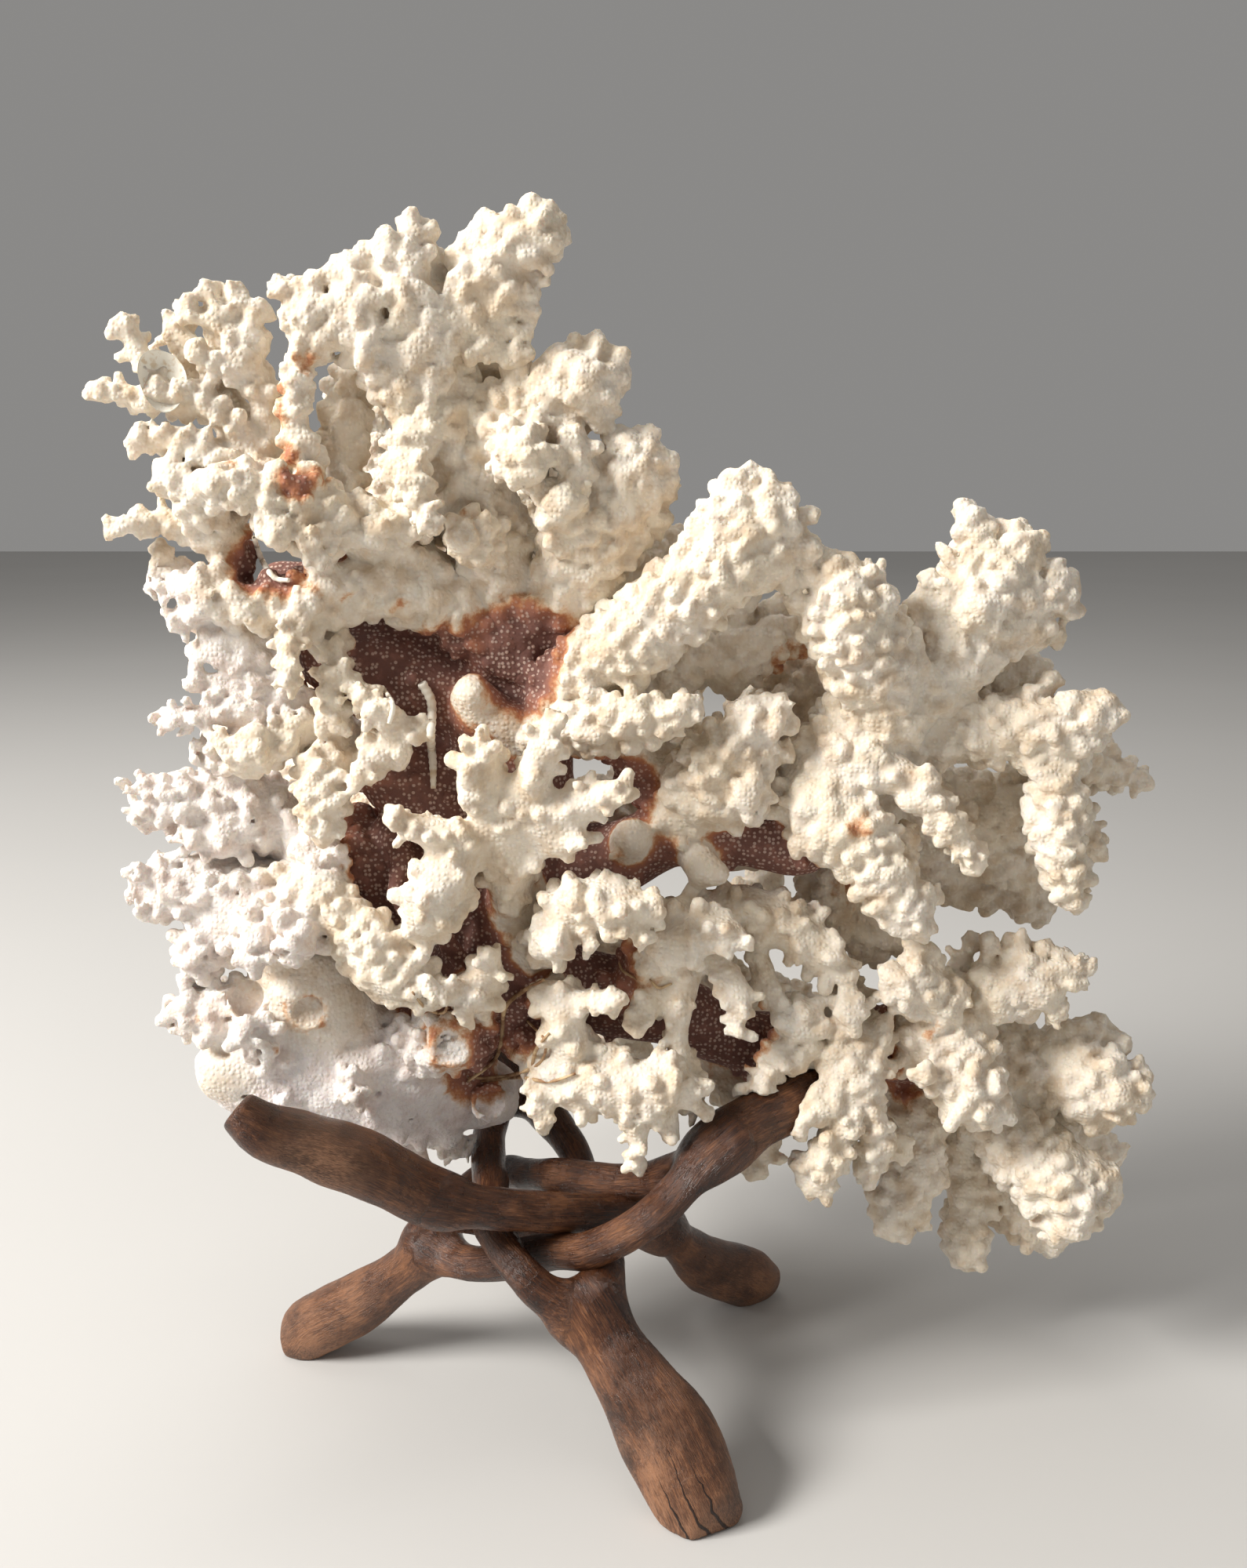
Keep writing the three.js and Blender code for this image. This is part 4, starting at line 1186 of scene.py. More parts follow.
        )),
        Bough("front_middle_bough", "cream_coral", Skin.LOBED, limbs(
            ((-24, 108, 2, 5.9), (-16, 110, -8, 5.9), (-14, 118, -16, 5.5), (-5, 119, -20, 5.9),
             (4, 118, -22, 4.2)), ((-4, 117, -20, 5), (4, 112, -22, 3.4)),
            ((-12, 116, -14, 4.2), (-8, 111, -20, 3.4)), ((-14, 112, -12, 5.9), (-15, 110, -20, 5)),
        )),
        Bough("front_right_bough", "cream_coral", Skin.LOBED, limbs(
            ((0, 98, 2, 5.2), (6, 105, -6, 6.2), (14, 110, -12, 7), (23, 112, -14, 5.2), (27, 110, -16, 3.3)),
            ((8, 108, -6, 5.2), (12, 117, -8, 4.4)), ((8, 102, -4, 5.9), (5, 94, -12, 5.2)),
            ((14, 102, -8, 5.2), (12, 91, -12, 4), (14, 80, -14, 2.5)),
            ((20, 106, -8, 4.4), (26, 97, -12, 4), (26, 89, -14, 2.9)),
        )),
        Bough("middle_lower_bough", "cream_coral", Skin.LOBED, limbs(
            ((4, 108, 6, 5.2), (18, 117, 4, 5.9), (31, 116, 2, 6.2), (41, 111, 0, 6.2), (48, 105, -2, 4.4)),
            ((41, 111, 2, 4.4), (48, 104, 8, 4), (52, 98, 8, 3.7), (52, 91, 6, 3.3)),
            ((30, 108, 0, 3.7), (33, 99, -4, 3.3), (38, 91, -6, 2.9)),
        )),
        Bough("knob_fingers", "cream_coral", Skin.LOBED, limbs(
            ((-18, 98, -2, 4.9), (-14, 95, -12, 5.7), (-12, 87, -14, 5.3), (-12, 82, -12, 4.9)),
            ((-12, 95, -14, 4.1), (-3, 96, -20, 2.5)), ((-6, 96, -18, 3.3), (-2, 96.5, -20, 1.6)),
        )),
        Bough("lower_front_bough", "cream_coral", Skin.LOBED, limbs(
            ((-26, 94, 6, 6.2), (-19, 84, -4, 6.2), (-11, 77, -12, 7.5), (0, 76, -16, 7), (9, 75, -18, 5.3),
             (15, 74, -18, 3.5)), ((-18, 80, -8, 5.3), (-19, 70, -14, 4)),
            ((-1, 73, -16, 5.3), (3, 64, -18, 3.5), (3, 56, -18, 2.6)),
            ((6, 72, -16, 4.8), (10, 65, -16, 3.5)), ((8, 74, -12, 4.4), (17, 70, -8, 3.5)),
            ((-19, 72, -13, 3.5), (-19, 67.5, -14, 2.4)), ((10, 68, -16, 3.5), (11, 64, -16, 2.4)),
            ((12, 76, -18, 4), (16.5, 75, -18, 2.4)), ((8, 77, -16, 4.4), (10.5, 80, -17, 2.4)),
            ((13, 73, -18, 3.5), (17.5, 69.5, -17, 2.2)),
        )),
        Bough("lower_middle_fingers", "cream_coral", Skin.KNOBBLY, limbs(
            ((40, 84, 4, 5.9), (50, 84, -2, 7.6), (54, 79, -4, 7.6), (51, 70, -8, 5.5), (49, 62, -10, 5),
             (46, 52, -12, 3.8)), ((40, 86, 0, 5.9), (41, 92, -6, 4.2)),
            ((49, 88, -2, 5.9), (51, 93, -6, 4.6)), ((42, 84, -2, 5.5), (36, 82, -6, 4.6), (31, 73, -8, 2.9)),
            ((54, 74, -4, 5.5), (58, 64, -8, 4.6), (58, 56, -8, 2.9)), ((58, 64, -6, 3.8), (63, 60, -6, 2.5)),
            ((54, 84, -2, 5.9), (58, 88, -2, 3.8)), ((50, 78, -4, 5), (46, 70, -10, 3.8), (42, 66, -12, 2.5)),
            ((33, 76, -8, 3.4), (29.5, 71.5, -8, 2.4)), ((44, 69, -9, 3.4), (41, 64.5, -10, 2.2)),
            ((47, 54, -12, 3.4), (47, 48.5, -12, 2.4)), ((47, 57, -11, 3.4), (42.5, 55, -11, 2.2)),
            ((58, 58, -8, 3), (58, 53.5, -8, 2.2)), ((59, 62, -7, 3.4), (63.5, 59.5, -6, 2.2)),
        )),
        Bough("lower_back_finger", "cream_coral", Skin.LOBED, limbs(
            ((20, 84, 18, 5.4), (25, 75, 14, 6.3), (29, 66, 10, 5.4), (31, 59, 8, 4)),
            ((28, 70, 10, 4.5), (34, 65, 8, 3.1)), ((31, 62, 9, 4), (34.5, 58, 8, 2)),
        )),
        Bough("right_fork", "cream_coral", Skin.KNOBBLY, limbs(
            ((62, 84, 10, 7.2), (68, 87, 4, 8.6), (76, 87, 2, 8.1), (77, 79, -2, 7.7), (80, 72, -6, 7.2),
             (84, 70, -6, 5.4)), ((72, 90, 4, 7.2), (70, 98, 0, 6.3), (64, 100, -4, 4.5)),
            ((69, 98, 0, 4.5), (66, 106, -2, 2.7)),
            ((76, 90, 6, 7.2), (83, 98, 4, 7.2), (93, 101, 2, 6.3), (100, 102, 0, 3.6)),
            ((92, 100, 2, 5.4), (98, 94, 0, 3.1)), ((75, 78, -2, 4.5), (70, 78, -8, 3.1)),
            ((67, 102, -2, 3.6), (66, 108.5, -2, 2.2)), ((68, 100, -2, 3.6), (69.5, 106, -2, 2.2)),
            ((66, 100, -3, 3.6), (61.5, 101.5, -4, 2.2)), ((66, 97, -3, 3.6), (62, 96.5, -4, 2.2)),
            ((72, 92, 0, 4.5), (74.5, 96, -2, 2.9)), ((83, 99, 3, 4.5), (82, 108, 3, 2.3)),
            ((86, 100, 3, 4.5), (86.5, 107.5, 3, 2.2)), ((88, 101, 3, 4.5), (89.5, 109, 2, 2.4)),
            ((92, 101, 2, 4.5), (94, 107, 2, 2.2)), ((95, 101, 1, 4), (98, 105, 1, 2.2)),
            ((98, 101, 0, 3.6), (104, 103.5, 0, 2.2)), ((92, 99, 2, 3.6), (91.5, 95, 1, 2.2)),
            ((74, 98, 8, 4), (78, 109, 8, 2.6)),
        )),
        Bough("far_right_fan", "cream_coral", Skin.KNOBBLY, limbs(
            ((72, 80, 18, 7.4), (86, 82, 18, 8.4), (98, 79, 14, 8.8), (108, 76, 8, 10.2), (113, 74, 4, 6.5)),
            ((102, 80, 12, 6.5), (109, 86, 10, 4.7)), ((84, 76, 18, 8.4), (95, 70, 14, 7.4)),
            ((100, 82, 12, 5.6), (103, 88, 10, 2.4)), ((104, 82, 10, 5.6), (107.5, 88.5, 9, 2.4)),
            ((108, 80, 8, 5.6), (113, 84.5, 7, 2.4)), ((110, 77, 6, 5.6), (117, 79.5, 5, 2.4)),
            ((110, 74, 5, 5.6), (117.5, 73, 4, 2.4)), ((106, 72, 6, 5.6), (109.5, 66.5, 5, 2.6)),
        )),
        Bough("lower_right_spray", "cream_coral", Skin.KNOBBLY, limbs(
            ((76, 76, 16, 8), (85, 67, 12, 8), (94, 58, 4, 9.5), (102, 50, -2, 9.5), (105, 43, -4, 7)),
            ((100, 52, 0, 7), (111, 50, -2, 4)), ((90, 66, 14, 6), (103, 64, 18, 5), (113, 59, 18, 3.5)),
            ((104, 50, -2, 6), (112.5, 52.5, -2, 2.2)), ((105, 48, -2, 6), (113.5, 48.5, -2, 2.2)),
            ((105, 46, -3, 6), (111, 44.5, -3, 2.2)), ((105, 43, -4, 5), (107.5, 39.5, -4, 2.2)),
            ((103, 44, -4, 5), (102.5, 37.5, -4, 2.2)),
        )),
        Bough("drop_branches", "cream_coral", Skin.KNOBBLY, limbs(
            ((64, 78, 18, 7.2), (68, 67, 12, 7.7), (69, 58, 8, 6.8), (66, 50, 4, 5.4), (65, 43, 2, 4.5)),
            ((72, 68, 20, 6.3), (79, 60, 18, 7.2), (83, 50, 16, 5.9), (82, 42, 12, 5), (82, 35, 10, 4.5)),
            ((84, 56, 20, 6.3), (91, 46, 18, 7.2), (99, 38, 14, 5.9)), ((66, 48, 4, 4.5), (71, 51, 4, 3.6)),
            ((82, 36, 10, 4), (82, 30.5, 10, 2.6)), ((81, 40, 11, 4), (77.5, 38, 11, 2.2)),
            ((65, 48, 3, 4), (61, 47, 3, 2)), ((65, 44, 2, 3.6), (62.5, 40.5, 2, 2.2)),
            ((66, 44, 2, 3.6), (70, 40.5, 2, 2.2)), ((65, 42, 2, 3.6), (66, 38.5, 2, 2.4)),
        )),
        Bough("back_upper_bough", "cream_coral", Skin.KNOBBLY, limbs(
            ((-20, 160, 18, 8), (-26, 178, 30, 9), (-38, 196, 42, 9), (-50, 214, 50, 7), (-56, 228, 54, 4.5)),
            ((-30, 186, 36, 7), (-22, 204, 46, 7), (-20, 222, 52, 5)),
            ((-44, 204, 46, 6), (-64, 204, 50, 5), (-76, 210, 48, 3.5)),
        )),
        Bough("back_left_bough", "cream_coral", Skin.KNOBBLY, limbs(
            ((-30, 126, 18, 9), (-46, 134, 32, 9), (-62, 140, 44, 8), (-78, 148, 52, 6), (-88, 156, 54, 4)),
            ((-54, 136, 40, 7), (-66, 122, 50, 7), (-78, 114, 54, 5)),
            ((-56, 140, 38, 7), (-60, 158, 46, 6), (-66, 172, 50, 4)),
        )),
        Bough("back_right_bough", "cream_coral", Skin.KNOBBLY, limbs(
            ((-14, 134, 20, 9), (2, 142, 34, 9), (20, 150, 48, 8), (38, 158, 58, 7), (54, 166, 62, 5)),
            ((12, 146, 42, 7), (10, 166, 54, 7), (14, 186, 60, 5)),
            ((24, 150, 50, 6), (36, 140, 56, 6), (50, 136, 58, 4.5)),
            ((24, 152, 44, 7), (34, 172, 48, 6.5), (40, 188, 50, 5)),
        )),
        Bough("back_lower_bough", "cream_coral", Skin.KNOBBLY, limbs(
            ((-24, 104, 20, 9), (-8, 104, 34, 9), (10, 102, 46, 8), (28, 96, 56, 7), (46, 92, 62, 5)),
            ((-16, 104, 28, 7), (-26, 116, 44, 7), (-30, 128, 54, 5)),
            ((2, 102, 42, 6), (0, 88, 52, 5), (6, 78, 56, 3.5)),
            ((16, 100, 50, 6), (22, 114, 56, 5.5), (32, 124, 58, 4)),
        )),
    )
    rings: tuple[Ring, ...] = (
        Ring((-72.3, 93.3, -13, 4.0), 0.45, 0.2, 0.26),
        Ring((-39.5, 84.8, -13.5, 4.8), 0.5, 0.3, 0.34),
        Ring((-30.6, 70.8, -2, 4.0), 0.8, 2.2, 0.08),
        Ring((-86, 96.5, -13, 4.4), 0.3, 5.0, 0.2),
        Ring((-2, 130, -3, 1.0), 0.5, 1.5, 0.3),
    )
    spots: tuple[Spot, ...] = (
        Spot((-33, 202, -6, 4), 0.35),
        Spot((-72, 230, -8, 3), 0.36), Spot((-72, 224, -9, 3.2), 0.40), Spot((-71, 217, -10, 3.6), 0.5),
        Spot((-69, 211, -14, 4), 0.62), Spot((-65, 235.5, -10, 3.2), 0.45), Spot((-63, 213, -12, 3), 0.45),
        Spot((-66, 189, -9, 2.6), 0.34), Spot((-59, 186, -9, 2.6), 0.36), Spot((-53, 183, -8, 3), 0.45),
        Spot((-48, 185, -7, 2.6), 0.42), Spot((-47, 196, -8, 2.6), 0.34), Spot((-82, 216, -14, 2.4), 0.3),
        Spot((-74, 192, 0, 9), 1.2), Spot((-66, 193, 2, 7), 1.1), Spot((-80, 192, 2, 7), 0.8),
        Spot((0, 146, 4, 7), 1.0), Spot((-8, 150, 6, 8), 1.0), Spot((-21, 174, 6, 12), 1.1),
        Spot((-36, 177, 8, 9), 1.0), Spot((-10, 163, 8, 9), 0.9), Spot((-50, 172, 10, 10), 0.9),
        Spot((-55, 125, 4, 12), 1.0), Spot((-48, 134, 6, 11), 1.0), Spot((-44, 118, 2, 10), 1.0),
        Spot((-36, 146, 8, 12), 1.0), Spot((-30, 128, 2, 11), 0.9), Spot((-34, 158, 6, 9), 1.0),
        Spot((2, 104, -2, 9), 0.8), Spot((-6, 110, -4, 7), 0.8), Spot((26, 90, 2, 9), 0.9),
        Spot((58, 84, 6, 7), 0.7), Spot((63, 76, 8, 6), 0.7), Spot((70, 72, 2, 5), 0.6),
        Spot((75, 68, 2, 4), 0.55), Spot((52, 137, -12, 3.5), 0.4), Spot((70, 88, -6, 3), 0.35),
        Spot((42, 160, 24, 4), 0.35), Spot((44, 135, -2, 3), 0.32), Spot((-40, 88, -6, 6), 0.5),
        Spot((-33, 80, 0, 8), 0.8), Spot((-22, 92, -2, 8), 0.9), Spot((34, 176, 14, 7), 0.45),
        Spot((48, 122, 22, 6), 0.4), Spot((-24, 96, -4, 7), 0.9), Spot((18, 84, 6, 8), 0.8),
        Spot((-94, 92, -12, 3), 0.4), Spot((-78, 84, -18, 2.6), 0.4), Spot((-60, 83, -18, 2.6), 0.35),
    )

    def grow(self, stand: Sequence[Block]) -> dict[str, bpy.types.Object]:
        """Grows the colony and draws each piece of it.

        Args:
            stand: the fields of the stand's legs, which the coral keeps clear of.

        Returns:
            The object made for each CAD node.
        """
        self.lay_grids()
        blocks = {bough.node: self.lay_limbs(bough) for bough in self.boughs}
        LOG.info("limbs laid")
        self.merge(blocks.values())
        for number, bough in enumerate(self.boughs):
            self.set_knobs(bough, blocks[bough.node], np.random.default_rng(self.seed + number))
        self.cut_rings(blocks)
        LOG.info("knobs set")
        self.merge(blocks.values())
        self.finish_tints()
        pieces = {}
        for bough in self.boughs:
            block = self.own_share(blocks[bough.node], stand)
            pieces[bough.node] = draw_surface(f"coral_{bough.node}", block, self.reach, self.ease)
        for piece in pieces.values():
            self.write_tints(piece)
        return pieces

    def lay_grids(self) -> None:
        """Lays out the samples that the whole colony shares: its field, its lumps and its tints."""
        low = np.array(CAD_BOX[0]) / MM - self.room
        high = np.array(CAD_BOX[1]) / MM + self.room
        self.whole = Block.spanning(low, high, self.step, self.reach)
        self.lumps = [Lumps(cell, self.seed + i).over(self.whole) for i, cell in enumerate(self.lump_cells)]
        self.tint = Block.spanning(low, high, self.tint_step, 0.0)
        self.chalk = Block.spanning(low, high, self.tint_step, 0.0)
        self.tint_weight = np.full(self.tint.values.shape, self.least_weight, np.float32)

    def lay_limbs(self, bough: Bough) -> Block:
        """Melts a bough's limbs into one field, each with the unevenness of its skin.

        Args:
            bough: the bough.

        Returns:
            The bough's field.
        """
        stops = [stop for limb in bough.limbs for stop in limb.stops()]
        margin = self.reach + self.limb_room
        low = np.min([place - radius for place, radius in stops], axis=0) - margin
        high = np.max([place + radius for place, radius in stops], axis=0) + margin
        last = self.whole.first + self.whole.values.shape - 1
        low, high = np.maximum(low, self.whole.first * self.step), np.minimum(high, last * self.step)
        block = Block.spanning(low, high, self.step, self.reach)
        for limb in bough.limbs:
            self.lay_limb(limb.stops(), COVERS[limb.skin or bough.skin], block)
        return block

    def lay_limb(self, stops: list[tuple[np.ndarray, float]], cover: Cover, block: Block) -> None:
        """Melts one limb into its bough's field and into the tints.

        Args:
            stops: the limb's places, each with its radius.
            cover: what the limb's skin does to it.
            block: the bough's field.
        """
        line = smooth_line([np.append(place, radius) for place, radius in stops], self.limb_spacing)
        line[:, 3] -= np.minimum(cover.core, self.core_limit * line[:, 3])
        widest = line[:, 3].max()
        low, high = line[:, :3].min(0) - widest, line[:, :3].max(0) + widest
        window = block.window(low - self.reach - 2.0, high + self.reach + 2.0)
        field_here = self.measure(line, block.axes(window))
        there = block.matching(window, self.whole)
        slim = min(widest / self.lumpy_radius, 1.0)
        for height, lumps in zip(cover.lumps, self.lumps):
            field_here = field_here - height * slim * lumps[there]
        block.values[window] = melt(block.values[window], field_here, self.fillet)
        window = self.tint.window(low - self.tint_room, high + self.tint_room)
        near = self.measure(line, self.tint.axes(window))
        weight = np.exp(-np.clip(near, *self.tint_span) / self.tint_fade)
        self.tint_weight[window] += weight
        self.tint.values[window] += weight * cover.stain
        self.chalk.values[window] += weight * cover.chalk

    def measure(self, line: np.ndarray, axes: Sequence[np.ndarray]) -> np.ndarray:
        """Distance from a limb's line of rods.

        Args:
            line: the rods' ends, each with its radius.
            axes: x, y and z of the samples.

        Returns:
            The distance at each sample, negative inside.
        """
        values = None
        for start, end in zip(line[:-1], line[1:]):
            here = rod(axes, start[:3], end[:3], start[3], end[3])
            values = here if values is None else melt(values, here, self.rod_fillet)
        return values

    def merge(self, blocks: Iterable[Block]) -> None:
        """Notes, at every sample, the nearest and the second nearest bough's distance.

        Args:
            blocks: the boughs' fields.
        """
        self.whole.values.fill(self.reach)
        self.second = np.full(self.whole.values.shape, self.reach, np.float32)
        for block in blocks:
            there = self.whole.shared(block)
            nearest, second = self.whole.values[there], self.second[there]
            here = np.minimum(block.values, self.reach)
            second[:] = np.minimum(second, np.maximum(nearest, here))
            np.minimum(nearest, here, out=nearest)

    def set_knobs(self, bough: Bough, block: Block, rng: np.random.Generator) -> None:
        """Sets a bough's knobs, or the pits of its chalky stretches.

        Args:
            bough: the bough.
            block: its field.
            rng: the source of chance.
        """
        for limb in bough.limbs:
            cover = COVERS[limb.skin or bough.skin]
            if cover.knob_share > 0:
                self.knobs_on(limb, cover, block, rng)
            if cover.chalk > self.chalky:
                self.pits_on(limb, block, rng)

    def seats(self, limb: Limb, spacing: float, rng: np.random.Generator) -> tuple[np.ndarray, ...]:
        """Spreads places over a limb's skin.

        Args:
            limb: the limb.
            spacing: the distance between places, in mm.
            rng: the source of chance.

        Returns:
            The places, the directions outward and along, the limb's radius and the share of its length.
        """
        line = smooth_line([np.append(place, radius) for place, radius in limb.stops()], spacing)
        last = len(line) - 1
        rows = []
        for i, (centre, radius) in enumerate(zip(line[:, :3], line[:, 3])):
            along = unit(line[min(i + 1, last), :3] - line[max(i - 1, 0), :3])
            wide, thick = frame_across(along)
            for tilt in self.tip_tilts if i == last else self.tip_tilts[:1]:
                count = max(int(round(2 * math.pi * radius * math.cos(tilt) / spacing)), 1)
                sway = rng.uniform(-self.seat_turn, self.seat_turn, count)
                turns = (np.arange(count) + 0.5 * (i % 2) + sway) * 2 * math.pi / count
                for turn in turns:
                    across = math.cos(turn) * wide + math.sin(turn) * thick
                    out = math.cos(tilt) * across + math.sin(tilt) * along
                    slide = along * rng.uniform(-self.seat_slide, self.seat_slide) * spacing
                    rows.append((*(centre + out * radius + slide), *out, *along, radius, i / last))
        rows = np.array(rows)
        return rows[:, :3], rows[:, 3:6], rows[:, 6:9], rows[:, 9], rows[:, 10]

    def knobs_on(self, limb: Limb, cover: Cover, block: Block, rng: np.random.Generator) -> None:
        """Melts knobs onto a limb wherever its skin is in the open.

        They are more crowded and taller towards the limb's tip, smaller on a thin limb and lower on its
        front.

        Args:
            limb: the limb.
            cover: what the limb's skin does to it.
            block: the bough's field.
            rng: the source of chance.
        """
        places, outs, alongs, radii, shares = self.seats(limb, self.knob_spacing, rng)
        places = places - outs * self.whole.sample(places)[:, None]
        in_open = self.whole.sample(places + outs * self.open_distance) > self.open_gap
        crowding = np.clip(0.5 + 1.1 * shares, 0.0, 1.0)
        keep = in_open & (rng.random(len(places)) < cover.knob_share * crowding)
        chance = rng.random((len(places), 6))
        small = np.clip(radii / self.knobbly_radius, self.least_knob, 1.0)
        sizes = (self.knob_radius[0] + chance[:, 0] * (self.knob_radius[1] - self.knob_radius[0])) * small
        span = self.knob_reach[1] - self.knob_reach[0]
        facing = np.where(outs[:, 1] < self.front_way, self.front_share, 1.0)
        heights = (self.knob_reach[0] + chance[:, 1] * span) * (0.55 + 0.7 * shares) * facing
        heads = unit(outs + self.knob_lean * alongs + (chance[:, 2:5] - 0.5) * self.knob_scatter)
        for i in np.flatnonzero(keep):
            foot, head = places[i] - outs[i] * self.knob_root, places[i] + heads[i] * heights[i]
            self.add_knob(block, foot, head, sizes[i] * 0.95, sizes[i] * (0.95 + 0.15 * chance[i, 5]))

    def add_knob(self, block: Block, foot: np.ndarray, head: np.ndarray, thick: float, thin: float) -> None:
        """Melts one knob into a field.

        Args:
            block: the field.
            foot: the middle of the knob's foot.
            head: the middle of its head.
            thick: the foot's radius.
            thin: the head's radius.
        """
        margin = thick + self.knob_fillet + 1.2
        window = block.window(np.minimum(foot, head) - margin, np.maximum(foot, head) + margin)
        if too_thin(window):
            return
        knob = rod(block.axes(window), foot, head, thick, thin)
        block.values[window] = melt(block.values[window], knob, self.knob_fillet)

    def pits_on(self, limb: Limb, block: Block, rng: np.random.Generator) -> None:
        """Eats small pits into a limb's skin.

        Args:
            limb: the limb.
            block: the bough's field.
            rng: the source of chance.
        """
        places, outs, _, _, _ = self.seats(limb, self.pit_spacing, rng)
        places = places - outs * self.whole.sample(places)[:, None]
        for place, out in zip(places, outs):
            radius = rng.uniform(*self.pit_radius)
            self.add_pit(block, place + out * radius * self.pit_lift, radius)

    def add_pit(self, block: Block, place: np.ndarray, radius: float) -> None:
        """Cuts one round pit from a field.

        Args:
            block: the field.
            place: the pit's middle.
            radius: its radius.
        """
        margin = radius + 2.5
        window = block.window(place - margin, place + margin)
        if too_thin(window):
            return
        pit = rod(block.axes(window), place, place + (0.01, 0.0, 0.0), radius, radius)
        block.values[window] = -melt(-block.values[window], pit, self.pit_edge)

    def cut_rings(self, blocks: dict[str, Block]) -> None:
        """Cuts every burrow and broken stub into the boughs that may have them.

        Args:
            blocks: the boughs' fields, by CAD node.
        """
        for ring in self.rings:
            for name, limit in self.ringed:
                self.cut_ring(ring, blocks[name], limit)

    def cut_ring(self, ring: Ring, block: Block, limit: float) -> None:
        """Raises the rim of a burrow or of a broken stub and hollows it out.

        Args:
            ring: the rim and its hole.
            block: the field of the bough that it is cut into.
            limit: how far from the bough's own surface the rim may reach.
        """
        place, radius = GROWTH.carry(ring.point)
        out = unit(GROWTH.focus() - place)
        margin = radius + ring.rim + 5.0
        window = block.window(place - margin, place + margin)
        if too_thin(window, 4):
            return
        x, y, z = block.axes(window)
        dx, dy, dz = x - place[0], y - place[1], z - place[2]
        height = dx * out[0] + dy * out[1] + dz * out[2]
        across = np.sqrt(np.maximum(dx * dx + dy * dy + dz * dz - height * height, 0.0))
        there = block.matching(window, self.whole)
        for wobble, lumps in zip(self.ring_wobble, self.lumps[1:]):
            across = across + wobble * lumps[there]
        here = block.values[window]
        near = here < limit
        rim = np.sqrt((across - radius) ** 2 + height * height) - ring.rim
        stub = np.maximum(across - radius, np.maximum(height - 0.3, -height - 6.0))
        bore = np.maximum(across - radius + ring.rim * 0.8, -height - ring.depth)
        raised = melt(here, np.where(near, stub, self.far), 1.2)
        raised = melt(raised, np.where(near, rim, self.far), 0.8)
        hole = np.where(height < 4.0, bore, self.far)
        block.values[window] = np.maximum(raised, -hole).astype(np.float32)

    def own_share(self, block: Block, stand: Sequence[Block]) -> Block:
        """The part of the melted colony that belongs to one bough.

        Where another bough is nearer, the surface dips under that bough's and ends just past the seam.

        Args:
            block: the bough's field.
            stand: the fields of the stand's legs.

        Returns:
            The field of the bough's own share.
        """
        there = self.whole.shared(block)
        nearest, second = self.whole.values[there], self.second[there]
        mine = block.values
        others = np.where(mine <= nearest + 1e-4, second, nearest)
        joined = melt(mine, others, self.seam_fillet)
        past = 0.5 * (mine - others)
        values = np.maximum(joined + self.seam_dip * np.maximum(past, 0.0), past - self.seam_overlap)
        for leg in stand:
            window = block.shared(leg)
            if all(s.stop > s.start for s in window):
                clear = self.stand_gap - leg.values[leg.shared(block)]
                values[window] = np.maximum(values[window], clear)
        edge = np.full(values.shape, self.reach, np.float32)
        edge[1:-1, 1:-1, 1:-1] = np.minimum(values[1:-1, 1:-1, 1:-1], self.reach)
        return Block(self.step, block.first, edge)

    def finish_tints(self) -> None:
        """Evens out the tints, then adds the spots and the rust round the rings."""
        self.tint.values /= self.tint_weight
        self.chalk.values /= self.tint_weight
        for spot in self.spots:
            place, radius = GROWTH.carry(spot.point)
            window, gap = self.tints_round(place, radius * 1.5)
            fade = np.clip((1.6 - gap / radius) / 1.1, 0.0, 1.0)
            fade = fade * fade * (3.0 - 2.0 * fade)
            self.tint.values[window] = np.maximum(self.tint.values[window], spot.amount * fade)
        for ring in self.rings:
            place, radius = GROWTH.carry(ring.point)
            window, gap = self.tints_round(place, radius + 4.0)
            fade = np.clip(1.7 - np.abs(gap - radius - 0.3) / 1.3, 0.0, 1.0)
            self.tint.values[window] = np.maximum(self.tint.values[window], ring.rust * fade)

    def tints_round(self, place: np.ndarray, margin: float) -> tuple[tuple[slice, ...], np.ndarray]:
        """Finds the tints' samples round a place.

        Args:
            place: the place.
            margin: how far from it the samples go.

        Returns:
            The samples, as slices, and the distance of each from the place.
        """
        window = self.tint.window(place - margin, place + margin)
        x, y, z = self.tint.axes(window)
        return window, np.sqrt((x - place[0]) ** 2 + (y - place[1]) ** 2 + (z - place[2]) ** 2)

    def lay_on(self, points: Sequence[Point], spacing: float, lift: float) -> np.ndarray:
        """Draws a line over the coral's skin, as it is met coming from the front.

        Args:
            points: the line's points, laid out as a limb's.
            spacing: the distance between the line's own points, in mm.
            lift: how far in front of the skin the line runs, in mm.

        Returns:
            One row for each point on the line: its true place and its radius.
        """
        line = smooth_line([np.array(point, float) for point in points], spacing)
        depths = np.arange(*self.search)
        for row in line:
            places = np.array([GROWTH.carry((row[0], row[1], depth, row[3]))[0] for depth in depths])
            met = np.flatnonzero(self.whole.sample(places) < self.skin_level)
            if len(met) and met[0] > 0:
                row[2] = depths[met[0]] - lift
        kernel = np.ones(self.smoothing) / self.smoothing
        depth = np.pad(line[:, 2], self.smoothing // 2, mode="edge")
        line[:, 2] = np.convolve(depth, kernel, mode="valid")
        return np.array([np.append(*GROWTH.carry(tuple(row))) for row in line])

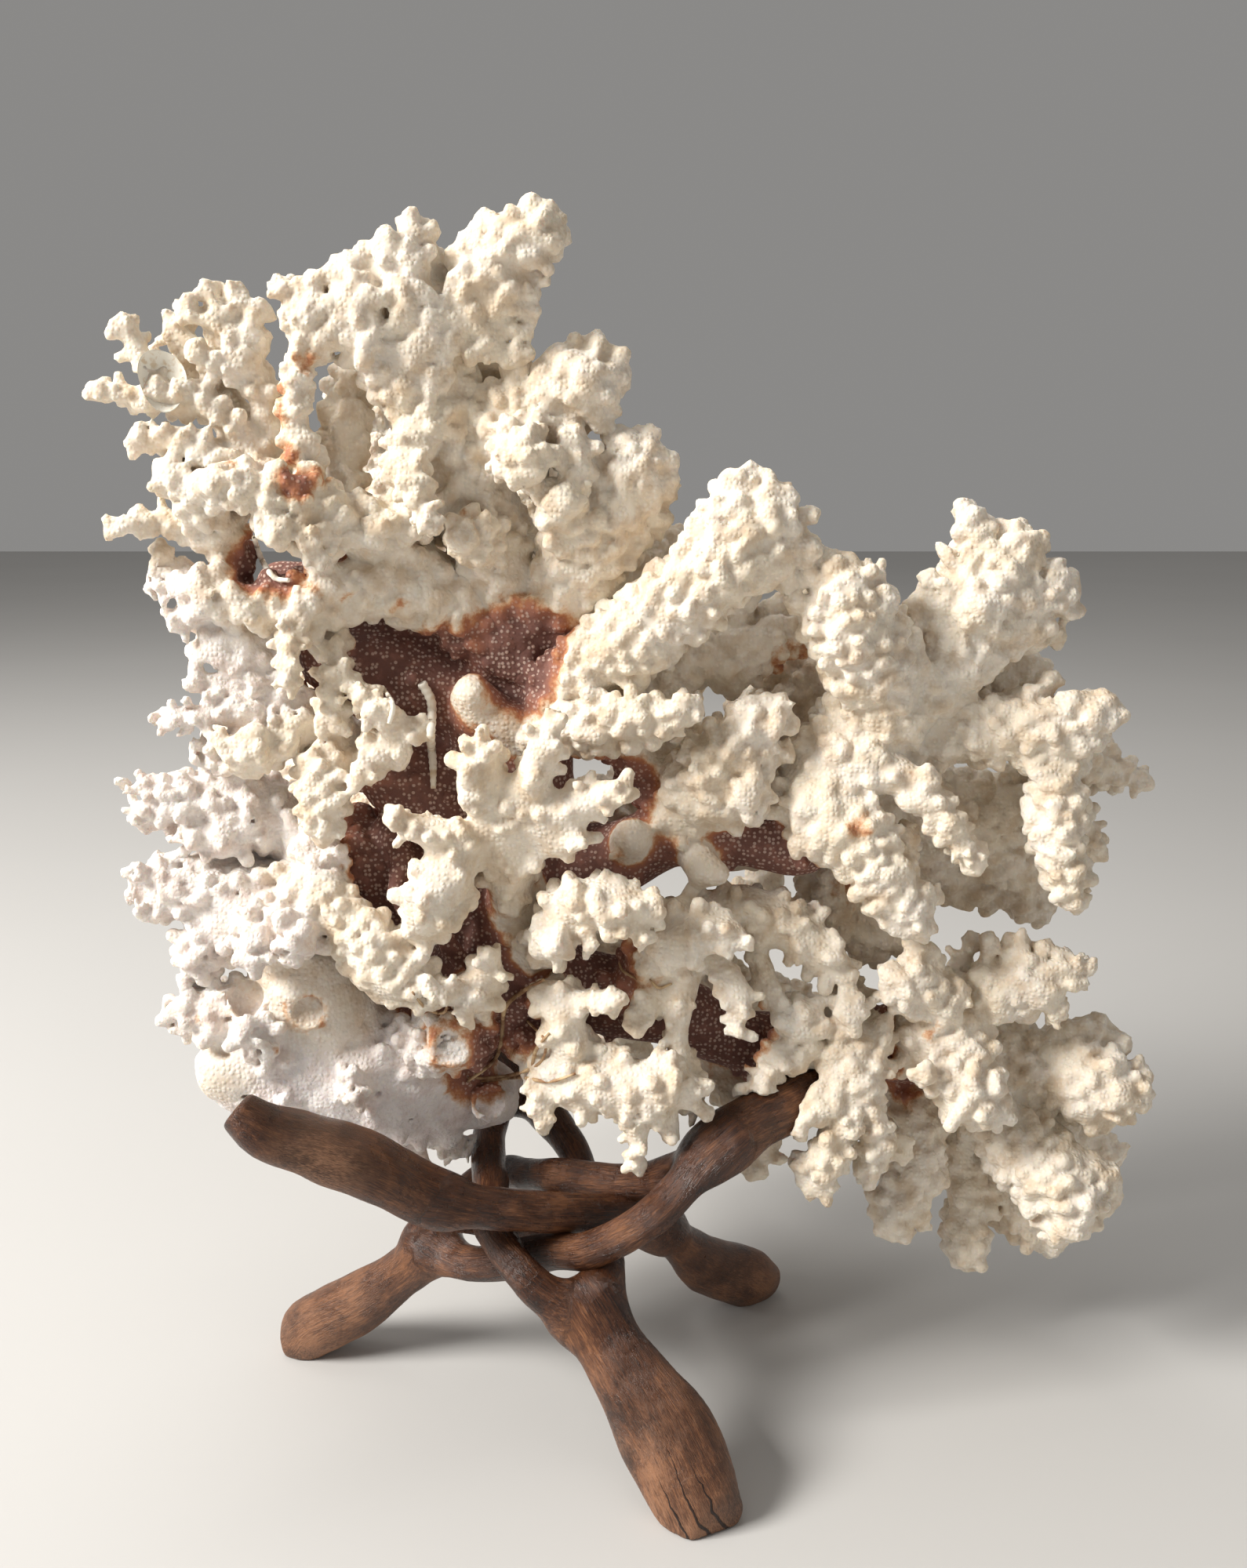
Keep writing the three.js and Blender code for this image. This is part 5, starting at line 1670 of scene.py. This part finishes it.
    def write_tints(self, piece: bpy.types.Object) -> None:
        """Stores on a piece's vertices how stained, bleached and enclosed it is. The finish paints shade
        where it is enclosed.

        Args:
            piece: the drawn piece.
        """
        points, normals = vertex_arrays(piece)
        write_values(piece, "stain", self.tint.sample(points))
        write_values(piece, "chalk", self.chalk.sample(points))
        for name, ahead, room in self.enclosed:
            free = self.whole.sample(points + normals * ahead)
            write_values(piece, name, np.clip(1.0 - free / room, 0.0, 1.0))

    def dress(self, pieces: dict[str, bpy.types.Object]) -> None:
        """Gives every piece its finish, by its material slot.

        Args:
            pieces: the object made for each CAD node.
        """
        slots = ("cream_coral", "chalk_base", "stained_stem")
        finishes = {slot: CoralFinish(slot).material() for slot in slots}
        for bough in self.boughs:
            fit_out(pieces[bough.node], [bough.node], finishes[bough.slot])


@dataclass
class InterlockedStand:
    """Three carved legs that pass through each other. Sizes in mm.

    A leg is a row of bars. A bar's points are true places (x, y, z), each with its half width and half
    thickness.
    """

    step: float = 0.62
    ease: float = 0.02
    reach: float = 3.0
    fillet: float = 4.5
    legs: dict[str, tuple[tuple[Point, ...], ...]] = field(default_factory=lambda: {
        "stand_leg_front": (
            ((17, -50, 2, 8, 6), (13.5, -46.5, 8, 9.8, 7), (9.5, -42, 14, 10.4, 7.2),
             (3, -36.5, 22, 8.6, 6.6), (-3, -31, 29, 7.5, 6), (-8, -27, 35, 8.5, 5.5)),
            ((-10, -27, 34, 6, 5), (-17, -28, 39, 4.2, 4), (-22, -26, 43, 3.8, 3.8), (-27, -20, 46, 3.8, 3.8),
             (-30, -12, 48, 3.8, 3.8), (-31, -4, 50, 3.8, 3.8), (-32, 6, 51.5, 3.8, 3.8), (-33, 18, 55, 4, 4),
             (-31, 30, 61, 4, 4)),
            ((-6, -26, 34, 6, 5), (-4, -21, 39, 4.4, 4), (-4, -10, 38, 4, 3.8), (-6, 2, 39, 4, 3.8),
             (-9, 11, 43, 4, 3.8), (-12, 17, 49, 4, 4), (-20, 26, 56, 4, 4), (-29, 32, 62, 4, 4)),
            ((-28, 30, 60, 7, 5), (-33, 38, 68, 8, 4.5), (-38, 44, 77, 7, 3.5)),
        ),
        "stand_leg_left": (
            ((-80, 10, 3, 6, 6), (-75, 9, 8, 7.5, 7), (-64, 7, 15, 7.5, 6.5), (-53, 4, 25, 5.5, 5),
             (-45, 2, 33, 6, 5)),
            ((-46, 2, 33, 5, 5), (-35, -8, 34, 3.8, 4.5), (-24, -14, 39, 3.8, 3.8), (-16, -18, 43, 3.8, 3.5),
             (-7, -22, 46, 4, 3.5), (4, -23, 53, 4, 3.8), (11, -20, 58, 4, 4), (17, -17, 64, 4.5, 4.5),
             (23, -14, 68, 5, 5)),
            ((-46, 3, 34, 5, 5), (-42, 13, 37, 4, 4), (-33, 21, 41, 4, 4), (-24, 14, 45, 4, 4),
             (-16, 6, 49, 4, 3.5), (-6, 2, 50, 4, 3.5), (4, -3, 52.5, 4, 3.8), (13, -9, 58, 4.5, 4.5),
             (22, -13, 67, 5, 5)),
            ((19, -14, 65, 5.5, 6), (28, -10, 70, 6, 6), (38, -5, 73, 6, 6), (47, 1, 75.5, 4.8, 4.5)),
        ),
        "stand_leg_right": (
            ((35, 33, 3, 7, 5), (30, 28, 9, 8, 6.5), (22, 23, 15, 7.5, 6), (14, 16, 25, 5, 5),
             (9, 11, 33, 5, 5)),
            ((9, 12, 32, 5, 5), (6, 4, 38, 4, 4), (1, -4, 44.5, 3.8, 3.8), (-10, -12, 49.5, 3.8, 4.2),
             (-19, -18, 53, 3.8, 4.5), (-28, -23, 56.5, 4, 5), (-40, -26, 60, 5, 6)),
            ((9, 12, 32, 5, 5), (-8, 13, 33.5, 3.8, 3.8), (-18, 6, 37.5, 3.8, 3.8), (-28, -1, 40.5, 3.8, 3.8),
             (-37, -5, 45, 3.8, 3.8), (-44, -16, 53, 4, 4.5), (-47, -24, 61, 5, 5)),
            ((-40, -25, 60, 4.8, 6), (-47, -27, 65, 5, 7.5), (-55, -31, 72, 6, 8.5), (-64, -35, 78, 5.6, 8.5),
             (-72, -39, 83, 4.8, 7), (-77, -41, 88, 3.4, 4.5)),
        ),
    })
    ends: tuple[tuple[Point, Point], ...] = (
        ((18.5, -54.0, 3.0), (0.42, -0.88, -0.12)),
        ((-84.0, 10.5, 2.0), (-0.95, 0.10, -0.20)),
        ((38.5, 37.0, 2.0), (0.70, 0.68, -0.10)),
        ((-78.0, -41.5, 89.0), (-0.80, 0.10, 0.62)),
    )
    end_edge: float = 1.1
    end_radius: float = 20.0
    bar_spacing: float = 2.0
    bar_room: float = 1.5
    grain_stretch: float = 0.10
    toe: Point = (16.5, -54.0, 1.0)
    toe_run: Point = (-7.0, 8.0, 13.0)
    gouge: Point = (-62.0, -41.0, 77.0)
    gouge_radius: float = 9.0
    hewn: tuple[tuple[float, float], ...] = ((13.0, 0.55), (5.0, 0.22))
    seed: int = 7

    def carve(self, step: float) -> dict[str, Block]:
        """Makes each leg's field, on samples of a given step."""
        return {name: self.carve_leg(bars, step) for name, bars in self.legs.items()}

    def carve_leg(self, bars: tuple[tuple[Point, ...], ...], step: float) -> Block:
        """Melts a leg's bars together, gives them a hand-carved unevenness, and cuts the ends and the sole.

        Args:
            bars: the leg's bars.
            step: the distance between samples.

        Returns:
            The leg's field.
        """
        lines = [self.bar_line(bar) for bar in bars]
        rows = np.vstack(lines)
        wide = rows[:, 3].max() + self.reach + 2.0
        block = Block.spanning(rows[:, :3].min(0) - wide, rows[:, :3].max(0) + wide, step, self.reach)
        for line in lines:
            self.lay_bar(line, block)
        for number, (cell, height) in enumerate(self.hewn):
            block.values = block.values + height * Lumps(cell, self.seed + number).over(block)
        x, y, z = block.axes(tuple(slice(0, n) for n in block.values.shape))
        for place, way in self.ends:
            at, out = GROWTH.settle(place), unit(np.array(way))
            dx, dy, dz = x - at[0], y - at[1], z - at[2]
            plane = dx * out[0] + dy * out[1] + dz * out[2]
            near = dx ** 2 + dy ** 2 + dz ** 2 < self.end_radius ** 2
            cut = -melt(-block.values, -plane.astype(np.float32), self.end_edge)
            block.values = np.where(near, cut, block.values)
        block.values = np.minimum(np.maximum(block.values, -z), self.reach).astype(np.float32)
        return block

    def bar_line(self, bar: tuple[Point, ...]) -> np.ndarray:
        """A smooth line through a bar's points, with the two half sizes along it."""
        return smooth_line([np.append(GROWTH.settle(point), point[3:]) for point in bar], self.bar_spacing)

    def lay_bar(self, line: np.ndarray, block: Block) -> None:
        """Melts one bar into the leg's field.

        Args:
            line: the bar's line, with the two half sizes along it.
            block: the leg's field.
        """
        span = self.reach + self.bar_room
        widest = line[:, 3].max()
        whole = block.window(line[:, :3].min(0) - widest - span, line[:, :3].max(0) + widest + span)
        bar = np.full(tuple(s.stop - s.start for s in whole), self.reach + 2.0, np.float32)
        for start, end in zip(line[:-1], line[1:]):
            size = max(start[3], end[3]) + span
            low, high = np.minimum(start[:3], end[:3]) - size, np.maximum(start[:3], end[:3]) + size
            window = block.window(low, high)
            inner = tuple(slice(w.start - h.start, w.stop - h.start) for w, h in zip(window, whole))
            bar[inner] = np.minimum(bar[inner], self.oval(block.axes(window), start, end))
        block.values[whole] = melt(block.values[whole], bar, self.fillet)

    @staticmethod
    def oval(axes: Sequence[np.ndarray], start: np.ndarray, end: np.ndarray) -> np.ndarray:
        """Distance from a short stretch of a bar with an oval section.

        Args:
            axes: x, y and z of the samples.
            start: the stretch's start, with its half sizes.
            end: its end, with its half sizes.

        Returns:
            The distance at each sample, negative inside.
        """
        x, y, z = axes
        run = end[:3] - start[:3]
        ahead = unit(run)
        wide, thick = InterlockedStand.section(ahead)
        share = ((x - start[0]) * run[0] + (y - start[1]) * run[1] + (z - start[2]) * run[2]) / (run @ run)
        share = np.clip(share, 0.0, 1.0)
        off = [axis - (start[k] + share * run[k]) for k, axis in enumerate((x, y, z))]
        half_wide = start[3] + share * (end[3] - start[3])
        half_thick = start[4] + share * (end[4] - start[4])
        u = off[0] * wide[0] + off[1] * wide[1] + off[2] * wide[2]
        v = off[0] * thick[0] + off[1] * thick[1] + off[2] * thick[2]
        w = off[0] * ahead[0] + off[1] * ahead[1] + off[2] * ahead[2]
        ratio = np.sqrt((u / half_wide) ** 2 + (v / half_thick) ** 2 + (w / half_thick) ** 2)
        slope = np.sqrt((u / half_wide ** 2) ** 2 + (v / half_thick ** 2) ** 2 + (w / half_thick ** 2) ** 2)
        return (ratio * (ratio - 1.0) / np.maximum(slope, 1e-4)).astype(np.float32)

    @staticmethod
    def section(ahead: np.ndarray) -> tuple[np.ndarray, np.ndarray]:
        """The wide and the thick direction of a bar that runs a given way.

        Args:
            ahead: the way that the bar runs.

        Returns:
            The two directions.
        """
        steady = np.eye(3)[1] if abs(ahead[1]) < 0.75 else np.eye(3)[2]
        wide = unit(np.cross(ahead, steady))
        return wide, unit(np.cross(wide, ahead))

    def draw(self, blocks: dict[str, Block]) -> dict[str, bpy.types.Object]:
        """Draws each leg and stores its grain, its wear and its splits on its vertices.

        Args:
            blocks: the legs' fields.

        Returns:
            The object made for each CAD node.
        """
        pieces = {}
        for name, block in blocks.items():
            pieces[name] = draw_surface(f"carved_{name}", block, self.reach, self.ease)
            points, _ = vertex_arrays(pieces[name])
            self.write_grain(pieces[name], points, [self.bar_line(bar) for bar in self.legs[name]])
            self.write_wear(pieces[name], points)
        return pieces

    @staticmethod
    def run_lengths(line: np.ndarray) -> np.ndarray:
        """How far each of a line's points is along it."""
        gaps = np.linalg.norm(np.diff(line[:, :3], axis=0), axis=1)
        return np.concatenate([[0.0], np.cumsum(gaps)])

    def write_grain(self, piece: bpy.types.Object, points: np.ndarray, lines: list[np.ndarray]) -> None:
        """Stores, for each vertex, its place across and along the grain.

        Args:
            piece: the drawn leg.
            points: its vertices.
            lines: the lines of its bars.
        """
        lengths = np.concatenate([self.run_lengths(line) for line in lines])
        rows = np.vstack(lines)
        ahead = np.vstack([unit(np.gradient(line[:, :3], axis=0)) for line in lines])
        gaps = np.linalg.norm(points[:, None, :] - rows[None, :, :3], axis=2) - rows[None, :, 3] * 0.5
        nearest = np.argmin(gaps, axis=1)
        off = points - rows[nearest, :3]
        along = (off * ahead[nearest]).sum(1)
        side = off - along[:, None] * ahead[nearest]
        stretch = (lengths[nearest] + along) * self.grain_stretch
        grain = (side[:, 0], side[:, 2] + side[:, 1], stretch + side[:, 1] * 0.2)
        write_values(piece, "grain", np.stack(grain, 1))

    def write_wear(self, piece: bpy.types.Object, points: np.ndarray) -> None:
        """Stores, for each vertex, how worn it is and where it is from the toe of the front foot.

        Args:
            piece: the drawn leg.
            points: its vertices.
        """
        foot = np.clip((34.0 - points[:, 2]) / 22.0, 0.0, 1.0)
        sole = np.clip((10.0 - points[:, 2]) / 9.0, 0.0, 1.0)
        from_gouge = np.linalg.norm(points - GROWTH.settle(self.gouge), axis=1)
        patch = np.clip(1.5 - from_gouge / self.gouge_radius, 0.0, 1.0)
        write_values(piece, "wear", np.clip(0.5 * foot + 0.35 * sole + patch, 0.0, 1.0))
        run = unit(np.array(self.toe_run))
        across = self.section(run)[0]
        from_toe = points - GROWTH.settle(self.toe)
        place = (from_toe @ across, from_toe @ run, from_toe @ np.cross(across, run))
        write_values(piece, "split", np.stack(place, 1))

    def dress(self, pieces: dict[str, bpy.types.Object]) -> None:
        """Gives every leg the wood finish.

        Args:
            pieces: the object made for each CAD node.
        """
        wood = WoodFinish("waxed_wood").material()
        for name, piece in pieces.items():
            fit_out(piece, [name], wood)


def tube(name: str, line: np.ndarray, sides: int, bore: float = 0.0) -> bpy.types.Object:
    """Makes a tube along a line.

    Args:
        name: the object's name.
        line: places and radius, one row each, in mm.
        sides: the number of sides.
        bore: the open bore at the far end, as a share of the radius, or 0 for a closed end.

    Returns:
        The object.
    """
    rows = list(line)
    if bore > 0:
        tip = rows[-1]
        back = unit(rows[-3][:3] - tip[:3])
        rows.append(np.append(tip[:3], tip[3] * bore))
        rows.append(np.append(tip[:3] + back * tip[3] * 2.5, tip[3] * bore * 0.8))
    rings = []
    turns = np.arange(sides) * 2 * math.pi / sides
    wide = None
    for i, row in enumerate(rows):
        j = min(i, len(line) - 2)
        along = unit(rows[j + 1][:3] - rows[j][:3])
        if wide is None:
            wide, _ = frame_across(along)
        wide = unit(wide - along * (wide @ along))
        thick = np.cross(wide, along)
        rings.append(row[:3] + row[3] * (np.cos(turns)[:, None] * wide + np.sin(turns)[:, None] * thick))
    points = np.vstack([*rings, rows[0][None, :3], rows[-1][None, :3]])
    faces = []
    for i in range(len(rows) - 1):
        for k in range(sides):
            a, b = i * sides + k, i * sides + (k + 1) % sides
            faces.append((a, b, b + sides, a + sides))
    last = (len(rows) - 1) * sides
    for k in range(sides):
        faces.append(((k + 1) % sides, k, len(rows) * sides, len(rows) * sides))
        faces.append((last + k, last + (k + 1) % sides, len(rows) * sides + 1, len(rows) * sides + 1))
    mesh = bpy.data.meshes.new(name)
    mesh.from_pydata((points * MM).tolist(), [], [tuple(dict.fromkeys(face)) for face in faces])
    mesh.polygons.foreach_set("use_smooth", np.ones(len(mesh.polygons), bool))
    mesh.update()
    piece = bpy.data.objects.new(name, mesh)
    bpy.context.scene.collection.objects.link(piece)
    return piece


@dataclass
class WormTubes:
    """Limy tubes that worms left on the coral, each laid out as a limb. Sizes in mm."""

    sides: int = 14
    spacing: float = 0.45
    lift: float = 0.7
    bore: float = 0.55
    ridge: float = 0.09
    ridge_turn: float = 1.9
    tubes: tuple[tuple[Point, ...], ...] = (
        ((-41.8, 145.5, 0, 0.55), (-41.7, 151, 0, 0.85), (-42, 157, 0, 0.95), (-41.6, 164.5, 0, 1),
         (-43.6, 169, 0, 1.05)),
        ((-71, 191, 0, 0.45), (-74, 191.5, 0, 0.6), (-76.5, 195, 0, 0.6), (-78, 200, 0, 0.5)),
        ((-52, 168, 0, 0.4), (-50, 164, 0, 0.55), (-51, 160, 0, 0.5)),
    )

    def build(self, coral: CoralColony) -> list[bpy.types.Object]:
        """Builds the tubes, with their growth ridges, on the coral's skin.

        Args:
            coral: the grown colony.

        Returns:
            One object for each tube.
        """
        pieces = []
        for number, points in enumerate(self.tubes):
            line = coral.lay_on(points, self.spacing, self.lift)
            line[:, 3] *= 1.0 + self.ridge * np.sin(np.arange(len(line)) * self.ridge_turn)
            pieces.append(tube(f"worm_tube_{number + 1}", line, self.sides, self.bore))
        return pieces

    def dress(self, pieces: list[bpy.types.Object]) -> None:
        """Gives the tubes their finish.

        Args:
            pieces: the tubes.
        """
        shell = ShellFinish("worm_shell").material()
        for piece in pieces:
            fit_out(piece, [], shell)


@dataclass
class RootFibres:
    """Dried fibres that creep over the stained base, each laid out as a limb. Sizes in mm."""

    sides: int = 7
    spacing: float = 0.8
    lift: float = 0.25
    fibres: tuple[tuple[Point, ...], ...] = (
        ((-18, 101, -9, 0.35), (-23, 98, -10, 0.5), (-27, 94, -9, 0.5), (-28, 86, -8, 0.5),
         (-30, 81, -8, 0.45), (-36, 76, -8, 0.35)),
        ((-17, 88, -9, 0.3), (-20, 84, -9, 0.45), (-22, 79, -9, 0.45), (-30, 77, -8, 0.4),
         (-36, 77, -7, 0.3)),
        ((-11, 78, -16, 0.3), (-17, 76, -13, 0.4), (-24, 77, -10, 0.4), (-33, 76, -7, 0.3)),
        ((-48, 98, -14, 0.25), (-45, 94, -12, 0.4), (-41, 93, -12, 0.35), (-40, 96, -12, 0.25)),
        ((-22, 91, -9, 0.3), (-18, 86, -10, 0.35), (-19, 81, -10, 0.35), (-24, 78, -9, 0.3)),
        ((-1, 105, -9, 0.2), (0, 103, -10, 0.35), (3, 101, -10, 0.2)),
        ((6, 101, -9, 0.2), (8, 99, -11, 0.35), (11, 100, -10, 0.2)),
    )

    def build(self, coral: CoralColony) -> list[bpy.types.Object]:
        """Builds the fibres on the coral's skin.

        Args:
            coral: the grown colony.

        Returns:
            One object for each fibre.
        """
        lines = [coral.lay_on(points, self.spacing, self.lift) for points in self.fibres]
        return [tube(f"root_fibre_{number + 1}", line, self.sides) for number, line in enumerate(lines)]

    def dress(self, pieces: list[bpy.types.Object]) -> None:
        """Gives the fibres their finish.

        Args:
            pieces: the fibres.
        """
        root = RootFinish("dried_root").material()
        for piece in pieces:
            fit_out(piece, [], root)


@dataclass
class CupShell:
    """A thin oval shell grown onto the end of an upper left twig. Sizes in mm."""

    point: Point = (-95, 232, -9, 1.0)
    half_width: float = 4.6
    half_height: float = 6.2
    dish: float = 2.2
    wall: float = 0.7
    curve: float = 2.2
    rim: tuple[float, float] = (1.03, 0.25)
    back_share: float = 1.02
    ripple: float = 0.05
    across: Point = (0.92, 0.35, 0.18)
    up: Point = (-0.2, 0.1, 0.97)
    out: Point = (0.25, -0.95, 0.1)
    rings: int = 14
    sides: int = 44

    def build(self) -> bpy.types.Object:
        """Builds the shell as a dished disc with a rolled rim, its hollow towards the front.

        Returns:
            The object.
        """
        place, scale = GROWTH.carry(self.point)
        profile = []
        for i in range(self.rings + 1):
            share = i / self.rings
            profile.append((share, -self.dish * (1 - share ** self.curve)))
        profile.append(self.rim)
        for i in range(self.rings, -1, -1):
            share = i / self.rings
            profile.append((share * self.back_share, -self.dish * (1 - share ** self.curve) - self.wall))
        turns = np.arange(self.sides) * 2 * math.pi / self.sides
        across, up, out = np.array(self.across), np.array(self.up), np.array(self.out)
        points = []
        for share, height in profile:
            wave = 1 + self.ripple * np.sin(turns * 3 + 1) * share
            offset = (np.cos(turns) * self.half_width * share * wave)[:, None] * across
            offset = offset + (np.sin(turns) * self.half_height * share * wave)[:, None] * up
            points.append(place + (offset + height * out) * scale)
        count = len(profile)
        faces = [(i * self.sides + k, i * self.sides + (k + 1) % self.sides,
                  (i + 1) * self.sides + (k + 1) % self.sides, (i + 1) * self.sides + k)
                 for i in range(count - 1) for k in range(self.sides)]
        return new_object("cup_shell", np.vstack(points), np.array(faces))

    def dress(self, piece: bpy.types.Object) -> None:
        """Gives the shell its finish."""
        fit_out(piece, [], ShellFinish("cup_shell", band_scale=700.0).material())


@dataclass
class Studio:
    """A plain pale floor, soft light from the upper left and the camera. Sizes in metres."""

    floor_size: float = 6.0
    camera_place: tuple[float, float, float] = (-0.007736, -0.309448, 0.217)
    camera_pitch: float = 13.05
    focal_share: float = 0.906
    sensor: float = 36.0
    aim: tuple[float, float, float] = (0.0, 0.0, 0.14)
    air: Colour = (0.80, 0.785, 0.765)
    air_strength: float = 0.32
    floor_tints: tuple[Colour, Colour] = ((0.50, 0.49, 0.475), (0.54, 0.53, 0.515))

    def build(self) -> None:
        """Sets up the whole studio."""
        self.lay_floor()
        self.hang_lights()
        self.place_camera()

    def lay_floor(self) -> None:
        """Lays the floor."""
        half = self.floor_size / 2
        corners = np.array([(-half, -half, 0), (half, -half, 0), (half, half, 0), (-half, half, 0)]) / MM
        floor = new_object("studio_floor", corners, np.array([(0, 1, 2, 3)]))
        bench, material, shader = Bench.fresh("studio_floor")
        place = bench.put("ShaderNodeTexCoord").outputs["Object"]
        cloud = bench.noise(place, 3.0, 3.0)
        bench.feed(shader.inputs["Base Color"], bench.mix(cloud, *self.floor_tints))
        shader.inputs["Roughness"].default_value = 0.8
        floor.data.materials.append(material)

    def hang_lights(self) -> None:
        """Hangs the large soft lights and sets the even light all round."""
        self.lamp("key_light", (-1.0, -0.42, 0.85), 0.5, 31.0, (1.0, 0.975, 0.935))
        self.lamp("top_light", (-0.25, 0.25, 1.3), 0.8, 5.0, (1.0, 0.98, 0.95))
        self.lamp("fill_light", (0.9, -0.9, 0.45), 1.0, 1.5, (1.0, 0.97, 0.93))
        world = bpy.data.worlds.new("studio_air")
        bpy.context.scene.world = world
        world.use_nodes = True
        air = world.node_tree.nodes["Background"]
        air.inputs["Color"].default_value = (*self.air, 1.0)
        air.inputs["Strength"].default_value = self.air_strength
        bpy.context.scene.view_settings.view_transform = "Standard"

    def lamp(self, name: str, place: tuple[float, float, float], size: float, power: float,
             colour: Colour) -> None:
        """Hangs one square light that faces the object's middle.

        Args:
            name: the light's name.
            place: where it hangs.
            size: the length of its side.
            power: its power in watts.
            colour: its colour.
        """
        data = bpy.data.lights.new(name, "AREA")
        data.size, data.energy, data.color = size, power, colour
        lamp = bpy.data.objects.new(name, data)
        lamp.location = place
        aim = Vector(self.aim) - Vector(place)
        lamp.rotation_euler = aim.to_track_quat("-Z", "Y").to_euler()
        bpy.context.scene.collection.objects.link(lamp)

    def place_camera(self) -> None:
        """Puts the camera in front of the colony, a little above its middle and tipped down."""
        data = bpy.data.cameras.new("camera")
        data.sensor_width = data.sensor_height = self.sensor
        data.lens = self.sensor * self.focal_share
        data.clip_start = 0.01
        camera = bpy.data.objects.new("camera", data)
        camera.location = self.camera_place
        camera.rotation_euler = (math.radians(90.0 - self.camera_pitch), 0.0, 0.0)
        bpy.context.scene.collection.objects.link(camera)
        bpy.context.scene.camera = camera


def main() -> None:
    """Builds the stand, the coral, what lives on it and the studio."""
    logging.basicConfig(level=logging.INFO, format="%(relativeCreated)6d %(message)s")
    stand = InterlockedStand()
    stand.dress(stand.draw(stand.carve(stand.step)))
    coral = CoralColony()
    coral.dress(coral.grow(list(stand.carve(coral.step).values())))
    worms = WormTubes()
    worms.dress(worms.build(coral))
    roots = RootFibres()
    roots.dress(roots.build(coral))
    shell = CupShell()
    shell.dress(shell.build())
    Studio().build()


if __name__ == "__main__":
    main()
